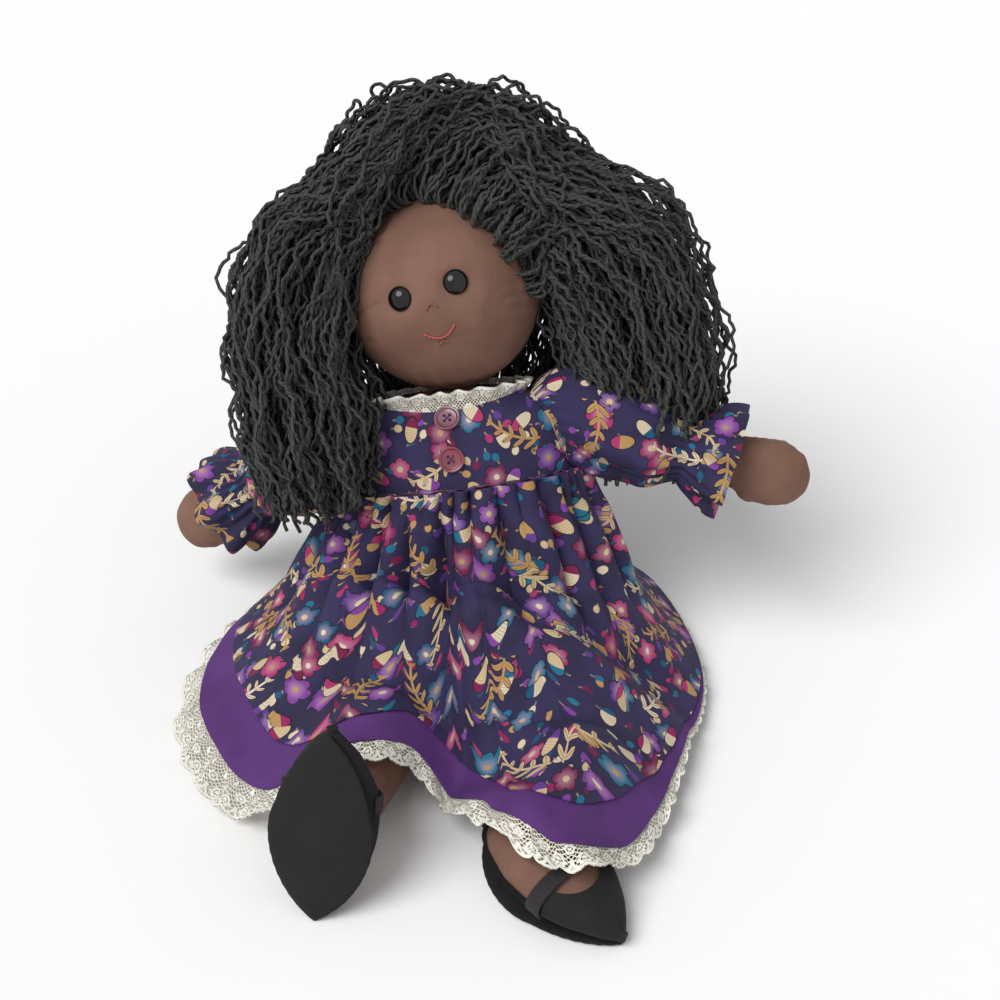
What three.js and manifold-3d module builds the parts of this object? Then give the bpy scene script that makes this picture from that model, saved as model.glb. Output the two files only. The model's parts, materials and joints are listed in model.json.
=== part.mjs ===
// Rag doll, seated, in a gathered dress, built from stuffed forms and cloth shells in millimetres, +Z up
import * as THREE from 'three';
import { mergeVertices } from 'three/addons/utils/BufferGeometryUtils.js';
import Module from 'manifold-3d';

const wasm = await Module();
wasm.setup();
const { Manifold, Mesh } = wasm;

const TURN = 2 * Math.PI;
const degrees = THREE.MathUtils.degToRad;

// Fits shared by all pieces
const seatGap = 0.3;
const layerGap = 0.7;
const clothThickness = 0.9;
const overrun = 400;
const mergeTolerance = 0.0001;

// Torso: the seat stands at the frame's start, the trunk leans back and to the doll's right
const seatX = 15;
const seatY = -52;
const recline = degrees(22);
const lean = degrees(8);
const torsoHeight = 160;
const torsoHalfWidth = 66;
const torsoHalfDepth = 35;
const seatSink = 0.5;
const torsoSides = 24;
// Each row: height share, half width share, half depth share, share of the lean that is left
const torsoShares = [
  [0, 0.8, 0.84, 0],
  [0.02, 0.92, 0.98, 0],
  [0.09, 1, 1.08, 0.15],
  [0.24, 1.0, 1.06, 0.45],
  [0.42, 0.94, 1.0, 0.8],
  [0.62, 0.93, 0.98, 1],
  [0.8, 0.96, 0.94, 1],
  [0.91, 0.92, 0.82, 1],
  [0.97, 0.76, 0.66, 1],
  [1, 0.5, 0.42, 1],
];

// Joints: the stuffed root of each limb turns in a hollow of the trunk, between these limits in degrees
const armRootRadius = 15.5;
const legRootRadius = 19;
const socketGap = 0.7;
const rootMargin = 0.15;
const jointSides = 16;
const nodLimits = { back: 15, forward: 20 };
const armLimits = { lower: 22, raise: 45 };
const legLimits = { lower: 12, raise: 40 };

// Neck: a stuffed stub with a domed top that the head turns on
const neckRadius = 19;
const neckSink = 13;
const neckPivot = torsoHeight - neckSink;

// Head: a stuffed ball, a little wider than deep, with drawn-in eye dimples
const headHalfWidth = 51;
const headHalfDepth = 46;
const headHalfHeight = 53;
const headX = 4;
const headRise = 68;
const headRoll = degrees(9.5);
const headPitch = degrees(6);
const headYaw = degrees(3);
const headSides = 26;
const headRows = 14;
const cheekFullness = 2.5;
const cheekDrop = 12;
const cheekSpread = 26;
const dimpleDepth = 2.6;
const dimpleRadius = 9;

// Eyes: shiny domes on shanks, each locked by a washer inside the head
const eyeRadius = 6.6;
const eyeHeight = 4.6;
const eyeSpacing = 30;
const eyeAngle = degrees(1);
const shankRadius = 1.9;
const shankLength = 12;
const shankClearance = 0.35;
const washerRadius = 5.5;
const washerThickness = 1.6;
const washerDepth = 7;
const eyeSides = 16;

// Stitched face lines, laid on the skin
const threadRadius = 0.55;
const threadSides = 5;
const threadSteps = 10;
const noseWidth = 6;
const noseRise = 2.6;
const noseDrop = 8.5;
const mouthWidth = 16;
const mouthSag = 4.6;
const mouthDrop = 18.5;
const chinWidth = 5.5;
const chinRise = 1.8;
const chinDrop = 27;

// Arms: stuffed, with a mitten hand and a thumb lobe
const armLength = 138;
const armDrop = degrees(23.5);
const armBack = { left: degrees(-3), right: degrees(26) };
const shoulderX = 62;
const shoulderDrop = 17;
const armRadius = 17;
const wristRadius = 13;
const handHalfWidth = 19.5;
const handHalfDepth = 13;
const handLength = 50;
const thumbRadius = 8.5;
const thumbShare = 0.4;
const armSides = 14;
// Each row of the arm: share of the way to the wrist, share of the arm's radius
const armShares = [[0, 0.88], [0.19, 1], [0.47, 0.98], [0.85, 0.84]];
// Each row of the hand: share of its length, of its half width and of its half depth
const handShares = [[0.33, 0.86, 1], [0.61, 1, 1], [0.86, 0.76, 0.76], [0.97, 0.4, 0.4], [1, 0.12, 0.14]];

// Sleeves: puffed, drawn in by an elastic and flared beyond it
const sleeveRootRadius = 27;
const sleevePuffRadius = 29;
const sleeveGatherRadius = 18.8;
const sleeveCuffRadius = 29;
const sleeveStart = -14;
const sleeveGather = 68;
const sleeveEnd = 94;
const sleeveSides = 22;
const sleeveFolds = 7;
const sleeveFoldDepth = 1.6;
const sleeveShares = [0, 0.22, 0.45, 0.65, 0.76, 0.86, 1];
const sleeveTurnShare = 0.4;
const sleeveFoldShare = 0.3;
const cuffFoldShare = 0.6;
const elasticWidth = 6;
const elasticThickness = 0.9;

// Legs: stuffed tubes from the hip to the ankle, with the brown instep inside the shoe
const legRadius = 21;
const kneeRadius = 20;
const ankleRadius = 15.5;
const legSides = 12;
const legSteps = 6;
const thighShare = 0.86;
const calfShare = 0.96;
const shinShare = 1.06;
const hipSpacing = 54;
const hipForward = 26;
const hipHeight = 20.5;

// Feet: a leaf-shaped sole pointed at toe and heel, a black shoe and a ribbed elastic strap
const footLength = 94;
const footHalfWidth = 25.5;
const footHeight = 31;
const soleThickness = 3.6;
const shoeThickness = 1.3;
const wallHeight = 14;
const ankleSetback = 13;
const strapWidth = 8;
const strapThickness = 1.1;
const strapForward = 12;
const openingHalfWidth = 16.5;
const openingToe = 25;
const footStations = 7;
const footSides = 12;
const strapSteps = 14;
const ankleShare = 0.72;
const footWidthShare = 0.95;
const leafFullness = 0.72;
const footTopShares = [0.3, 0.9, 1, 0.96, 0.78, 0.62, 0.34];
// One side of the sole's outline: two curves' controls and ends, as shares of its half width and half length
const leafShares = [[0.9, 0.72], [1.2, 0.1], [0.92, -0.2], [0.75, -0.62], [0.3, -0.9], [0, -1]];

// Where each foot is set down: the middle of its sole, its turn and how far the toe is lifted
const footPlace = {
  right: { x: -62, y: -216, z: 44.5, yaw: degrees(-14), lift: degrees(113), kneeX: -6, kneeZ: -2 },
  left: { x: 47, y: -212, z: 0, yaw: degrees(42), lift: degrees(0), kneeX: 22, kneeZ: -2 },
};

// Bodice: front panel and two back panels, from the yoke seam to the neckline
const necklineDrop = 3;
const bodiceTop = torsoHeight - necklineDrop;
const bodiceLength = 43;
const yokeSeam = bodiceTop - bodiceLength;
const bodiceClearance = 1.1;
const necklineHalfWidth = 41;
const necklineHalfDepth = 24;
const necklineShare = 0.45;
const yokeWidthShare = 0.94;
const panelGap = 0.5;
const armholeRadius = 23;

// Dress buttons with four holes, and the snap at the back
const buttonRadius = 6.9;
const buttonThickness = 2.6;
const buttonRim = 1.5;
const buttonDish = 0.9;
const buttonHoleRadius = 0.95;
const buttonHoleSpacing = 3;
const buttonSides = 16;
const buttonDrops = { upper: 6, lower: 27 };
const snapRadius = 4;
const snapThickness = 1.1;
const snapDrop = 9;

// Neck lace: a narrow standing frill
const neckLaceWidth = 5.6;
const neckLaceFlare = 5;
const neckLaceWaves = 9;
const neckLaceWave = 1.1;
const laceThickness = 0.8;

// Drape: the dress hangs from the yoke seam over the lap and spreads on the ground
const drapeDrop = 52;
const drapeSpread = 34;
const lapHeight = 58;
const lapShare = 0.62;
const legCover = 7;
const coverSpread = 1.6;
const legBlend = 9;
const hangingLift = degrees(12);
const lyingLift = degrees(80);
const hemHeight = 1.4;
const foldCount = 10;
const foldDepth = 3.4;
const drapeSides = 40;
const skirtRows = 6;
const laceOverlap = 5;
const hangShare = 0.3;
const drapeLengthShare = 1.15;
const lyingShare = 0.6;
const lapShares = [0.12, 0.3];
const foldGrowth = 2.2;
const foldLossShare = 0.45;
const foldLevelShare = 0.6;
const foldRiseShare = 0.5;
const foldSway = 2;

// Outer edge of the hem lace around the seat, each by its bearing, its reach and its height
const hemBearings = [0, 8, 15, 23, 31, 42, 58, 90, 122, 150, 180, 210, 240, 262, 284, 300, 318, 330, 343];
const hemReach = [
  148, 175, 184, 178, 162, 144, 128, 120, 120, 120,
  118, 122, 132, 154, 174, 176, 160, 138, 118,
];
const hemLift = [4, 12, 20, 14, 3, 2, 2, 2, 2, 2, 2, 2, 2, 2, 2, 2, 12, 28, 12];
// How far the printed hem and the plain hem stop short of the lace's edge
const skirtShort = [42, 44, 44, 40, 28, 16, 8, 6, 8, 12, 16, 18, 22, 34, 52, 56, 38, 24, 28];
const underShort = [12, 12, 11, 10, 8, 6, 3, 3, 4, 6, 8, 8, 10, 18, 22, 24, 18, 12, 10];

// Hair: yarn volumes around the head, each by its route from the head's middle
const crownHalf = { x: 78, y: 68, z: 80 };
const crownShift = { x: 6, y: 20, z: 22 };
const faceWindow = { width: 51, top: 46, back: 4 };
const hairSides = 14;
const hairSteps = 8;
const hairGap = 0.8;
const hairRoutes = {
  hair_left: {
    points: [[40, 16, 46], [82, 10, 30], [112, 0, -8], [122, -18, -52], [118, -34, -86]],
    widthShares: [0.75, 1, 1, 0.8, 0.4],
    width: 40,
    depth: 34,
  },
  hair_right: {
    points: [[-34, 16, 44], [-68, 6, 24], [-84, -18, -18], [-76, -42, -60], [-64, -60, -92]],
    widthShares: [0.75, 1, 0.95, 0.8, 0.42],
    width: 34,
    depth: 32,
  },
  hair_back: {
    points: [[4, 48, 40], [6, 66, 10], [6, 72, -34], [4, 74, -72]],
    widthShares: [0.8, 1, 1, 0.7],
    width: 72,
    depth: 24,
  },
};

// Materials by finish
const finish = (color, roughness, metalness = 0) => (
  new THREE.MeshStandardMaterial({ color, roughness, metalness })
);
const brownCotton = finish(0x6b4a3f, 0.9);
const blackCotton = finish(0x26262a, 0.85);
const blackElastic = finish(0x2e2830, 0.95);
const blackYarn = finish(0x1b1d1c, 1);
const printCotton = finish(0x3c3560, 0.85);
const purpleCotton = finish(0x5f3f78, 0.85);
const creamLace = finish(0xe9e2d6, 0.9);
const eyePlastic = finish(0x0a0a0b, 0.12);
const whitePlastic = finish(0xd8d6d0, 0.6);
const roseButton = finish(0x7a4a5c, 0.35);
const redButton = finish(0x96305a, 0.35);
const coralThread = finish(0xc4605f, 0.9);
const goldThread = finish(0x8a5a3a, 0.9);
const snapMetal = finish(0x8f9092, 0.4, 0.9);
const whiteElastic = finish(0xded9d0, 0.9);

// Shape helpers: closed skins through rings of points, and booleans on them

function skin(rings, loop = false) {
  const sides = rings[0].length;
  const vertices = rings.flat().flatMap((point) => [point.x, point.y, point.z]);
  const index = [];
  const spans = loop ? rings.length : rings.length - 1;
  for (let i = 0; i < spans; i += 1) {
    for (let j = 0; j < sides; j += 1) {
      const a = i * sides + j;
      const b = i * sides + ((j + 1) % sides);
      const c = ((i + 1) % rings.length) * sides + j;
      const d = ((i + 1) % rings.length) * sides + ((j + 1) % sides);
      index.push(a, b, d, a, d, c);
    }
  }
  if (!loop) {
    capRing(vertices, index, rings[0], 0, true);
    capRing(vertices, index, rings.at(-1), (rings.length - 1) * sides, false);
  }
  const geometry = new THREE.BufferGeometry();
  geometry.setAttribute('position', new THREE.Float32BufferAttribute(vertices, 3));
  geometry.setIndex(index);
  return outward(geometry);
}

// A closed shell between two like grids of columns that go all the way round
function shell(outer, inner) {
  const rows = outer[0].length;
  const vertices = [...outer, ...inner].flat().flatMap((point) => [point.x, point.y, point.z]);
  const index = [];
  const at = (face, column, row) => (face * outer.length + (column % outer.length)) * rows + row;
  for (let i = 0; i < outer.length; i += 1) {
    for (let j = 0; j < rows - 1; j += 1) {
      const [a, b, c, d] = [at(0, i, j), at(0, i, j + 1), at(0, i + 1, j), at(0, i + 1, j + 1)];
      const [e, f, g, h] = [at(1, i, j), at(1, i, j + 1), at(1, i + 1, j), at(1, i + 1, j + 1)];
      index.push(a, b, d, a, d, c, e, h, f, e, g, h);
    }
    const [a, b, c, d] = [at(0, i, 0), at(0, i + 1, 0), at(1, i, 0), at(1, i + 1, 0)];
    index.push(a, b, d, a, d, c);
    const last = rows - 1;
    const [e, f, g, h] = [at(0, i, last), at(0, i + 1, last), at(1, i, last), at(1, i + 1, last)];
    index.push(f, e, g, f, g, h);
  }
  const geometry = new THREE.BufferGeometry();
  geometry.setAttribute('position', new THREE.Float32BufferAttribute(vertices, 3));
  geometry.setIndex(index);
  return outward(geometry);
}

const columnsOf = (rings) => rings[0].map((_, j) => rings.map((ring) => ring[j]));

function capRing(vertices, index, ring, first, reversed) {
  const middle = ring.reduce((sum, point) => sum.add(point), new THREE.Vector3()).divideScalar(ring.length);
  const hub = vertices.length / 3;
  vertices.push(middle.x, middle.y, middle.z);
  for (let j = 0; j < ring.length; j += 1) {
    const a = first + j;
    const b = first + ((j + 1) % ring.length);
    index.push(...(reversed ? [b, a, hub] : [a, b, hub]));
  }
}

function outward(geometry) {
  const spots = geometry.attributes.position;
  const index = geometry.index.array;
  const [a, b, c] = [new THREE.Vector3(), new THREE.Vector3(), new THREE.Vector3()];
  let volume = 0;
  for (let i = 0; i < index.length; i += 3) {
    a.fromBufferAttribute(spots, index[i]);
    b.fromBufferAttribute(spots, index[i + 1]);
    c.fromBufferAttribute(spots, index[i + 2]);
    volume += a.dot(b.cross(c));
  }
  if (volume < 0) {
    index.forEach((_, i) => {
      if (i % 3 === 0) [index[i + 1], index[i + 2]] = [index[i + 2], index[i + 1]];
    });
  }
  return geometry;
}

function solid(geometry) {
  const bare = geometry.clone();
  for (const name of ['normal', 'uv']) bare.deleteAttribute(name);
  const merged = mergeVertices(bare, mergeTolerance);
  const vertProperties = new Float32Array(merged.attributes.position.array);
  const triVerts = new Uint32Array(merged.index.array);
  return new Manifold(new Mesh({ numProp: 3, vertProperties, triVerts }));
}

function geometryOf(manifold) {
  const { vertProperties, triVerts } = manifold.getMesh();
  const geometry = new THREE.BufferGeometry();
  geometry.setAttribute('position', new THREE.Float32BufferAttribute(vertProperties, 3));
  geometry.setIndex([...triVerts]);
  geometry.computeVertexNormals();
  return geometry;
}

const atWorld = (manifold, frame) => manifold.transform(matrixOf(frame).elements);
const toFrame = (manifold, frame) => manifold.transform(matrixOf(frame).invert().elements);

function matrixOf(frame) {
  frame.updateWorldMatrix(true, false);
  return frame.matrixWorld.clone();
}

function add(frame, name, shape, material) {
  const geometry = shape.isBufferGeometry ? shape : geometryOf(shape);
  geometry.computeVertexNormals();
  const mesh = new THREE.Mesh(geometry, material);
  mesh.name = name;
  frame.add(mesh);
  return mesh;
}

// An ellipse of points around a middle, in the plane of two axes
function ellipse(middle, across, along, halfWidth, halfDepth, sides) {
  return Array.from({ length: sides }, (_, j) => {
    const angle = (TURN * j) / sides;
    return middle.clone()
      .addScaledVector(across, halfWidth * Math.cos(angle))
      .addScaledVector(along, halfDepth * Math.sin(angle));
  });
}

// Rings square to a curve, with each ring's half width and half depth from its share along it
function ringsAlong(curve, steps, sides, sizeAt) {
  const frames = curve.computeFrenetFrames(steps, false);
  return Array.from({ length: steps + 1 }, (_, i) => {
    const [halfWidth, halfDepth] = sizeAt(i / steps);
    const spot = curve.getPointAt(i / steps);
    return ellipse(spot, frames.normals[i], frames.binormals[i], halfWidth, halfDepth, sides);
  });
}

// A value at a share along evenly spaced rows, smooth between them
function between(values, share) {
  const spot = THREE.MathUtils.clamp(share, 0, 1) * (values.length - 1);
  const row = Math.min(Math.floor(spot), values.length - 2);
  const rest = spot - row;
  const ease = rest * rest * (3 - 2 * rest);
  return values[row] + (values[row + 1] - values[row]) * ease;
}

const smoothMax = (a, b, blend) => (a + b + Math.sqrt((a - b) ** 2 + blend ** 2)) / 2;
const bell = (distance, radius) => Math.exp(-((distance / radius) ** 2));

// Frames of the moving parts
const doll = new THREE.Group();
const seat = new THREE.Group();
seat.position.set(seatX, seatY, 0);
seat.rotation.set(-recline, -lean, 0, 'YXZ');
doll.add(seat);

// Torso
function torsoRings(offset) {
  const upright = seat.quaternion.clone().invert();
  const level = new THREE.Quaternion();
  return torsoShares.map(([rise, width, depth, leaning]) => {
    const turn = upright.clone().slerp(level, leaning);
    const across = new THREE.Vector3(1, 0, 0).applyQuaternion(turn);
    const along = new THREE.Vector3(0, 1, 0).applyQuaternion(turn);
    const end = rise === 0 ? -offset : rise === 1 ? offset : 0;
    const middle = new THREE.Vector3(0, 0, rise * torsoHeight + end - seatSink);
    const halfWidth = torsoHalfWidth * width + offset;
    return ellipse(middle, across, along, halfWidth, torsoHalfDepth * depth + offset, torsoSides);
  });
}

const floorSlab = solid(new THREE.BoxGeometry(2 * overrun, 2 * overrun, overrun))
  .translate([0, 0, -overrun / 2]);
const grounded = (manifold, frame) => toFrame(atWorld(manifold, frame).subtract(floorSlab), frame);
const torsoForm = (offset) => solid(skin(torsoRings(offset)));

// Head frame: the neck pivot carries it
const neck = new THREE.Group();
neck.position.set(headX, 0, neckPivot);
seat.add(neck);
const head = new THREE.Group();
head.position.set(0, 0, headRise);
head.rotation.set(-headPitch, -headRoll, -headYaw, 'YXZ');
neck.add(head);
const hair = new THREE.Group();
hair.quaternion.copy(seat.quaternion).invert();
hair.position.copy(head.position);
neck.add(hair);

const neckDome = (offset) => ball(neckRadius + offset, 'x').translate([headX, 0, neckPivot]);

// A ball whose poles lie on a hinge's axis, so that it turns in its hollow without rubbing
function ball(radius, axis) {
  const geometry = new THREE.SphereGeometry(radius, jointSides, jointSides / 2);
  if (axis === 'x') geometry.rotateZ(Math.PI / 2);
  return solid(geometry);
}

// A still form as a limb meets it, turned by whole facets of the limb's ball until past both limits
function swept(form, pivot, axis, from, to) {
  const still = toFrame(form, pivot);
  const facet = 360 / jointSides;
  const first = Math.floor(from / facet);
  const last = Math.ceil(to / facet);
  const turns = Array.from({ length: last - first + 1 }, (_, i) => (first + i) * facet);
  const turned = turns.map((turn) => still.rotate(axis === 'x' ? [turn, 0, 0] : [0, turn, 0]));
  return atWorld(turned.reduce((sum, shape) => sum.add(shape)), pivot);
}

// The head's skin at a direction, drawn in at each eye and full at the cheeks
const eyeRows = [-1, 1].map((side) => eyeDirection(side));

function eyeDirection(side) {
  const height = headHalfHeight * Math.sin(eyeAngle);
  const forward = Math.sqrt(headHalfWidth ** 2 - height ** 2 - (eyeSpacing / 2) ** 2);
  return new THREE.Vector3((side * eyeSpacing) / 2, -forward, height).normalize();
}

function headSkin(direction, offset) {
  const point = new THREE.Vector3(
    direction.x * (headHalfWidth + offset),
    direction.y * (headHalfDepth + offset),
    direction.z * (headHalfHeight + offset),
  );
  const cheek = bell(point.z + cheekDrop, cheekSpread) * cheekFullness * (1 - direction.z ** 2);
  const plain = point.clone().addScaledVector(direction, cheek);
  const dimple = eyeRows.reduce((sum, eye) => {
    const spot = new THREE.Vector3(eye.x * headHalfWidth, eye.y * headHalfDepth, eye.z * headHalfHeight);
    return sum + bell(plain.distanceTo(spot), dimpleRadius) * dimpleDepth;
  }, 0);
  return plain.addScaledVector(direction, -dimple);
}

function headForm(offset) {
  const geometry = new THREE.SphereGeometry(1, headSides, headRows);
  geometry.rotateX(Math.PI / 2);
  const spots = geometry.attributes.position;
  const direction = new THREE.Vector3();
  for (let i = 0; i < spots.count; i += 1) {
    direction.fromBufferAttribute(spots, i).normalize();
    const point = headSkin(direction, offset);
    spots.setXYZ(i, point.x, point.y, point.z);
  }
  return solid(geometry);
}

// Turns a shape whose axis is +Z so that it stands on the skin along a direction
function standOn(manifold, direction, depth) {
  const turn = new THREE.Matrix4().makeRotationFromQuaternion(
    new THREE.Quaternion().setFromUnitVectors(new THREE.Vector3(0, 0, 1), direction),
  );
  const foot = headSkin(direction, -depth);
  turn.setPosition(foot);
  return manifold.transform(turn.elements);
}

function revolve(outline, sides) {
  const points = outline.map(([radius, height]) => new THREE.Vector2(radius, height));
  const geometry = new THREE.LatheGeometry(points, sides);
  geometry.rotateX(Math.PI / 2);
  return solid(outward(mergeVertices(stripped(geometry), mergeTolerance)));
}

function stripped(geometry) {
  for (const name of ['normal', 'uv']) geometry.deleteAttribute(name);
  return geometry;
}

function post(radius, from, to, sides) {
  return revolve([[0, from], [radius, from], [radius, to], [0, to]], sides);
}

function buildTorso() {
  let form = atWorld(torsoForm(0).subtract(neckDome(seatGap)), seat).subtract(floorSlab);
  for (const [name] of sides) {
    form = form.subtract(atWorld(ball(armRootRadius + socketGap, 'y'), shoulderPivots[name]));
    form = form.subtract(atWorld(ball(legRootRadius + socketGap, 'x'), hips[name]));
  }
  add(seat, 'torso', toFrame(largestOf(form), seat), brownCotton);
  add(seat, 'neck', largestOf(neckDome(0).subtract(torsoForm(seatGap))), brownCotton);
}

function buildHead() {
  let form = headForm(0);
  const dome = neckDome(2 * seatGap);
  const trunk = atWorld(torsoForm(bodiceClearance + clothThickness + seatGap), seat);
  const met = swept(trunk, neck, 'x', -nodLimits.forward, nodLimits.back);
  form = form.subtract(toFrame(atWorld(dome, seat), head)).subtract(toFrame(met, head));
  eyeRows.forEach((direction, i) => {
    const name = i === 0 ? 'right' : 'left';
    const hole = post(shankRadius + shankClearance, -shankLength, overrun, eyeSides / 2);
    const pocketFloor = -washerDepth - washerThickness - seatGap;
    const pocket = post(washerRadius + seatGap, pocketFloor, -washerDepth + seatGap, eyeSides / 2);
    const dish = eyeDome(seatGap);
    form = form.subtract(standOn(hole, direction, 0));
    form = form.subtract(standOn(pocket, direction, 0));
    form = form.subtract(standOn(dish, direction, 0));
    const shank = post(shankRadius, -shankLength + seatGap, eyeHeight / 2, eyeSides / 2);
    add(head, `eye_${name}`, standOn(eyeDome(0).add(shank), direction, 0), eyePlastic);
    const washer = post(washerRadius, -washerDepth - washerThickness, -washerDepth, eyeSides / 2)
      .subtract(post(shankRadius + shankClearance, -overrun, overrun, eyeSides / 2));
    add(head, `eye_washer_${name}`, standOn(washer, direction, 0), whitePlastic);
  });
  add(head, 'head', form, brownCotton);
}

function eyeDome(offset) {
  const rim = eyeRadius + offset;
  const outline = [[0, -offset]];
  const arcSteps = eyeSides / 4;
  for (let i = 0; i <= arcSteps; i += 1) {
    const angle = (TURN * i) / (4 * arcSteps);
    outline.push([rim * Math.cos(angle), (eyeHeight + offset) * Math.sin(angle) - (i === 0 ? offset : 0)]);
  }
  return revolve(outline, eyeSides);
}

// The point that lies a little off the finished head's skin, straight out along a direction
function offFace(direction, lift) {
  const face = head.children.find((mesh) => mesh.name === 'head');
  const ray = new THREE.Raycaster(direction.clone().multiplyScalar(overrun), direction.clone().negate());
  const skinMesh = new THREE.Mesh(face.geometry);
  const [{ point }] = ray.intersectObject(skinMesh);
  return point.addScaledVector(direction, lift);
}

// A stitched line on the face: an arc given by its width, its sag and its height on the face
function stitch(name, width, sag, height, material) {
  const points = Array.from({ length: threadSteps + 1 }, (_, i) => {
    const share = (2 * i) / threadSteps - 1;
    const x = (share * width) / 2;
    const z = height - sag * (1 - share ** 2);
    const direction = new THREE.Vector3(x / headHalfWidth, 0, z / headHalfHeight);
    direction.y = -Math.sqrt(1 - direction.lengthSq());
    return offFace(direction, threadRadius + seatGap);
  });
  const curve = new THREE.CatmullRomCurve3(points);
  const section = Array.from({ length: threadSides }, (_, j) => [
    threadRadius * Math.cos((TURN * j) / threadSides),
    threadRadius * Math.sin((TURN * j) / threadSides),
  ]);
  const shape = new THREE.Shape(section.map(([x, y]) => new THREE.Vector2(x, y)));
  const path = { steps: threadSteps, extrudePath: curve, bevelEnabled: false };
  const geometry = new THREE.ExtrudeGeometry(shape, path);
  add(head, name, solid(geometry), material);
}

function buildFaceStitches() {
  stitch('nose_stitch', noseWidth, -noseRise, -noseDrop, goldThread);
  stitch('mouth_stitch', mouthWidth, mouthSag, -mouthDrop, coralThread);
  stitch('chin_stitch', chinWidth, -chinRise, -chinDrop, goldThread);
}

// Arms and sleeves
const shoulderPivots = {};
const shoulders = {};

function shoulderFrame(name, side) {
  const pivot = new THREE.Group();
  pivot.position.set(side * shoulderX, 0, torsoHeight - shoulderDrop);
  seat.add(pivot);
  shoulderPivots[name] = pivot;
  const frame = new THREE.Group();
  frame.rotation.set(0, side * armDrop, side * armBack[name], 'ZYX');
  pivot.add(frame);
  shoulders[name] = frame;
}

function armForm(side, offset) {
  const wristX = armLength - handLength;
  const rows = [
    ...armShares.map(([rise, size]) => [rise * wristX, size * armRadius, size * armRadius]),
    [wristX, wristRadius, wristRadius],
    ...handShares.map(([rise, width, depth]) => [
      wristX + rise * handLength,
      width * handHalfWidth,
      depth * handHalfDepth,
    ]),
  ];
  const up = new THREE.Vector3(0, 0, 1);
  const back = new THREE.Vector3(0, 1, 0);
  const rings = rows.map(([x, halfWidth, halfDepth], i) => {
    const end = i === rows.length - 1 ? offset : 0;
    const spot = new THREE.Vector3(side * (x + end), 0, 0);
    return ellipse(spot, up, back, halfWidth + offset, halfDepth + offset, armSides);
  });
  const thumb = solid(new THREE.SphereGeometry(thumbRadius + offset, armSides / 2, armSides / 4))
    .translate([side * (wristX + handLength * thumbShare), 0, -wristRadius]);
  return solid(skin(rings)).add(thumb);
}

function buildArm(name, side) {
  const frame = shoulders[name];
  const pivot = shoulderPivots[name];
  const kept = atWorld(ball(armRootRadius + rootMargin, 'y'), pivot);
  const dressed = torsoForm(bodiceClearance + clothThickness + seatGap);
  const trunk = atWorld(dressed, seat).subtract(kept);
  const [from, to] = side > 0 ? [-armLimits.lower, armLimits.raise] : [-armLimits.raise, armLimits.lower];
  const met = swept(trunk, pivot, 'y', from, to);
  const root = atWorld(ball(armRootRadius, 'y'), pivot);
  const arm = atWorld(armForm(side, 0), frame).add(root).subtract(met).subtract(drapeBulk(overSkirt));
  add(frame, `arm_${name}`, toFrame(largestOf(arm), frame), brownCotton);
}

function sleeveRadius(share) {
  const gatherShare = (sleeveGather - sleeveStart) / (sleeveEnd - sleeveStart);
  if (share <= gatherShare) {
    const puff = [sleevePuffRadius, sleevePuffRadius];
    return between([sleeveRootRadius, ...puff, sleeveRootRadius, sleeveGatherRadius], share / gatherShare);
  }
  const rest = (share - gatherShare) / (1 - gatherShare);
  return sleeveGatherRadius + (sleeveCuffRadius - sleeveGatherRadius) * Math.sin((rest * Math.PI) / 2);
}

// Rings of the sleeve, which start square to the trunk and turn square to the arm
function sleeveRings(name, side, offset, folded) {
  const gatherShare = (sleeveGather - sleeveStart) / (sleeveEnd - sleeveStart);
  const trunk = shoulders[name].quaternion.clone().invert();
  const level = new THREE.Quaternion();
  return sleeveShares.map((share) => {
    const turn = trunk.clone().slerp(level, Math.min(1, share / sleeveTurnShare));
    const x = side * (sleeveStart + share * (sleeveEnd - sleeveStart));
    const onCuff = share > gatherShare ? cuffFoldShare : 0;
    const depth = sleeveFoldDepth * Math.min(1, bell(share - gatherShare, sleeveFoldShare) + onCuff) * share;
    return Array.from({ length: sleeveSides }, (_, j) => {
      const angle = (TURN * j) / sleeveSides;
      const wave = folded ? Math.sin(sleeveFolds * angle) * depth : 0;
      const radius = sleeveRadius(share) + offset + wave;
      return new THREE.Vector3(0, radius * Math.sin(angle), radius * Math.cos(angle))
        .applyQuaternion(turn)
        .add(new THREE.Vector3(x, 0, 0));
    });
  });
}

function buildSleeve(name, side) {
  const frame = shoulders[name];
  const outer = columnsOf(sleeveRings(name, side, clothThickness, true));
  const inner = columnsOf(sleeveRings(name, side, 0, true));
  const trunk = atWorld(torsoForm(bodiceClearance + clothThickness + seatGap), seat);
  const band = sleeveGatherRadius - sleeveFoldDepth - seatGap;
  const elastic = revolve(
    [[band - elasticThickness, -elasticWidth / 2], [band, -elasticWidth / 2],
      [band, elasticWidth / 2], [band - elasticThickness, elasticWidth / 2],
      [band - elasticThickness, -elasticWidth / 2]],
    eyeSides,
  ).rotate([0, 90, 0]).translate([side * sleeveGather, 0, 0]);
  const sleeve = atWorld(solid(shell(outer, inner)), frame)
    .subtract(trunk)
    .subtract(atWorld(headForm(layerGap), head))
    .subtract(drapeBulk(overSkirt))
    .subtract(drapeBulk(overSkirt).translate([0, 0, layerGap]));
  add(frame, `sleeve_${name}`, toFrame(largestOf(sleeve), frame), printCotton);
  add(frame, `sleeve_elastic_${name}`, elastic, whiteElastic);
}

// Legs and feet
const hips = {};
const feet = {};

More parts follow.
